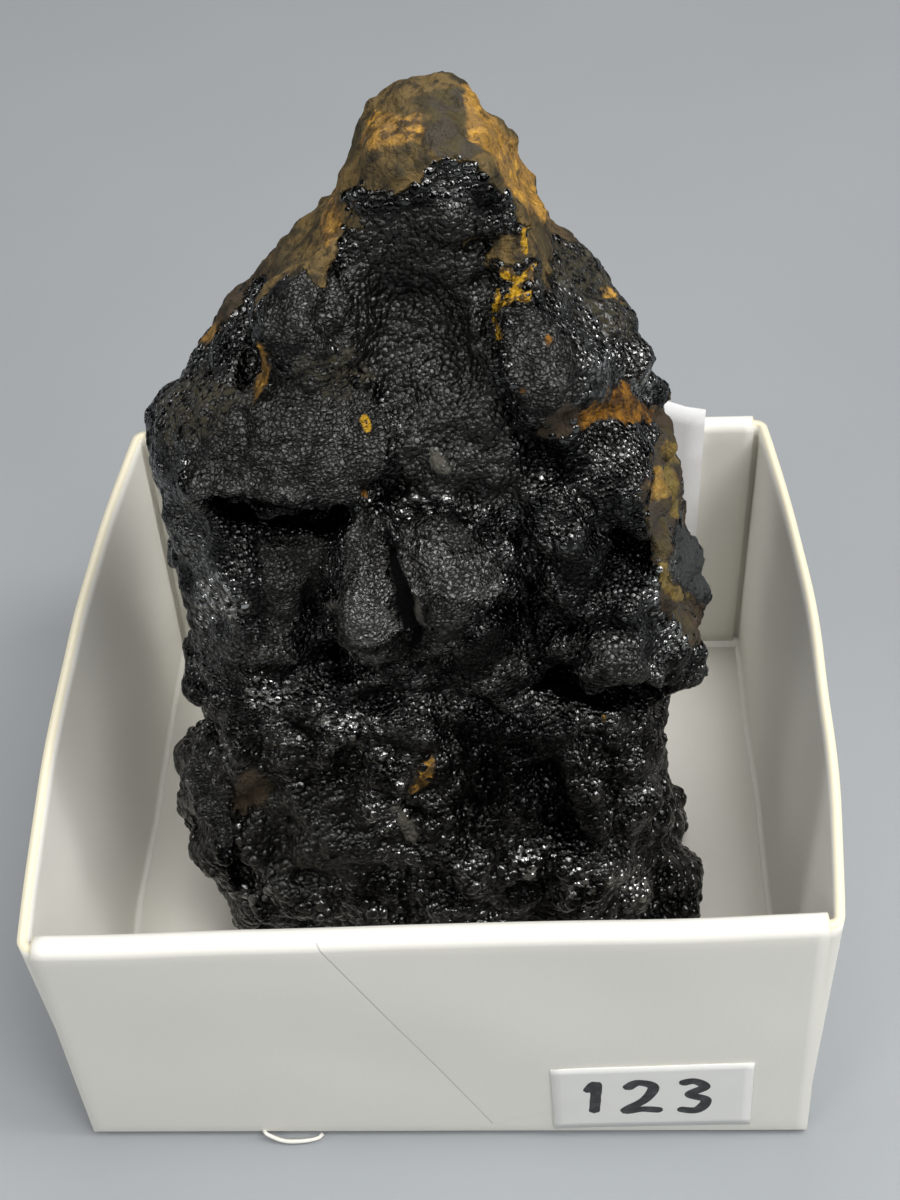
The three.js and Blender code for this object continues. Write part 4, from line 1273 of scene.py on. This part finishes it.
def make_number():
    """A plain number in felt pen on the sticker."""
    number = bmesh.new()
    for stroke, (left, low), (wide, tall) in NUMBER_STROKES:
        path = np.array(smooth_path([(left + wide * x, low + tall * y) for x, y in stroke]))
        way = np.gradient(path, axis=0)
        way /= np.linalg.norm(way, axis=1)[:, None] + 1e-9
        side = np.stack((-way[:, 1], way[:, 0]), axis=1)
        run = np.concatenate(([0], np.cumsum(np.linalg.norm(np.diff(path, axis=0), axis=1))))
        grid = [[] for _ in INK_LINES]
        for n in range(len(path)):
            end = min(run[n], run[-1] - run[n])
            half = PEN_WIDTH / 2 * math.sqrt(max(1 - (1 - min(end / (PEN_WIDTH / 2), 1)) ** 2, 0.002))
            half *= 1 + 0.12 * wave(run[n], left, low, 0.9, 3)
            for line, share in zip(grid, INK_LINES):
                u, v = path[n] + side[n] * half * share
                line.append(sticker_place(u, v, INK_OUT - INK_ROUND * share * share))
        number.from_mesh(grid_mesh("stroke", grid))
    mesh = bpy.data.meshes.new("sticker_number")
    number.to_mesh(mesh)
    number.free()
    on_body(new_piece("sticker_number", mesh, ink_look()), "sticker_paper")


def make_label():
    """The card behind the stone, a little bent, with one corner cut."""
    drop = LABEL_HEIGHT - LABEL_RIGHT_HEIGHT
    grid = []
    for t in np.linspace(0, 1, 16):
        row = []
        for x in np.linspace(LABEL_LEFT, LABEL_RIGHT, 24):
            cut = smooth_step(x, LABEL_RIGHT - LABEL_CORNER, LABEL_RIGHT) * drop
            z = LABEL_FOOT + t * (LABEL_HEIGHT - cut)
            bend = LABEL_BEND * t * (1 - (x - LABEL_LEFT) / (LABEL_RIGHT - LABEL_LEFT))
            row.append((x, ROW_SHIFT + TRAY_DEPTH / 2 - LABEL_INSET - bend, z))
        grid.append(row)
    label = settle(sheet("label", grid, THIN_CARD))
    for look in (paper_look("label_paper", *LABEL_PAPER), paper_look("label_edge", *LABEL_EDGE)):
        label.data.materials.append(look)
    on_body(label, "label_paper", "label_card")


# Stage, light and camera


STAGE_REACH = 1500
# Each lamp's name, place and width in millimetres, and power in watts. All aim at one spot in the tray.
LAMPS = (
    ("overhead", (0, 20, 560), 420, 1.15),
    ("right_high", (260, -60, 440), 160, 0.95),
    ("front_right_high", (150, -200, 470), 200, 0.9),
    ("front_left", (-250, -310, 330), 200, 0.55),
    ("front_right", (250, -310, 330), 200, 0.45),
    ("left", (-430, -60, 210), 120, 0.35),
    ("right", (430, -60, 210), 120, 0.35),
    ("back", (0, 400, 330), 200, 0.42),
)
LAMP_AIM = (0, 0, 30)


def add_light(name, place, size, power):
    lamp = bpy.data.lights.new(name, "AREA")
    lamp.shape = "DISK"
    lamp.size = size * MM
    lamp.energy = power
    holder = bpy.data.objects.new(name, lamp)
    holder.location = Vector(place) * MM
    holder.rotation_euler = (Vector(LAMP_AIM) - Vector(place)).to_track_quat("-Z", "Y").to_euler()
    bpy.context.scene.collection.objects.link(holder)


def add_camera():
    right, up, ahead = camera_axes()
    lens = bpy.data.cameras.new("photo_camera")
    lens.sensor_fit = "VERTICAL"
    lens.sensor_height = SENSOR_HEIGHT
    lens.lens = FOCAL_PIXELS / PHOTO_HEIGHT * SENSOR_HEIGHT
    place = Matrix((right, up, -ahead)).transposed().to_4x4()
    place.translation = Vector(EYE) * MM
    eye = bpy.data.objects.new("photo_camera", lens)
    eye.matrix_world = place
    bpy.context.scene.collection.objects.link(eye)
    bpy.context.scene.camera = eye


def add_stage():
    corners = [(STAGE_REACH * x, STAGE_REACH * y, 0) for x, y in ((-1, -1), (1, -1), (1, 1), (-1, 1))]
    new_piece("table", mesh_of("table", corners, [(0, 1, 2, 3)]), table_look())
    for name, place, size, power in LAMPS:
        add_light(name, place, size, power)
    world = bpy.data.worlds.new("room")
    world.use_nodes = True
    background = world.node_tree.nodes["Background"]
    background.inputs["Color"].default_value = colour(ROOM_COLOUR)
    background.inputs["Strength"].default_value = ROOM_LIGHT
    bpy.context.scene.world = world
    bpy.context.scene.view_settings.view_transform = "Standard"


def make_stone():
    stone = stone_start()
    carve(stone)
    even_out(stone)
    fields = paint(stone)
    bud(stone, fields)
    stone.data.materials.append(stone_look())
    on_body(stone, "goethite", "goethite_mass")
    look = bead_look()
    for n, mesh in enumerate(bead_meshes(*bead_places(stone, fields)), start=1):
        on_body(new_piece(f"bead_crust_{n}", mesh, look), "goethite")


make_stone()
make_tray()
make_sticker()
make_number()
make_label()
add_stage()
add_camera()
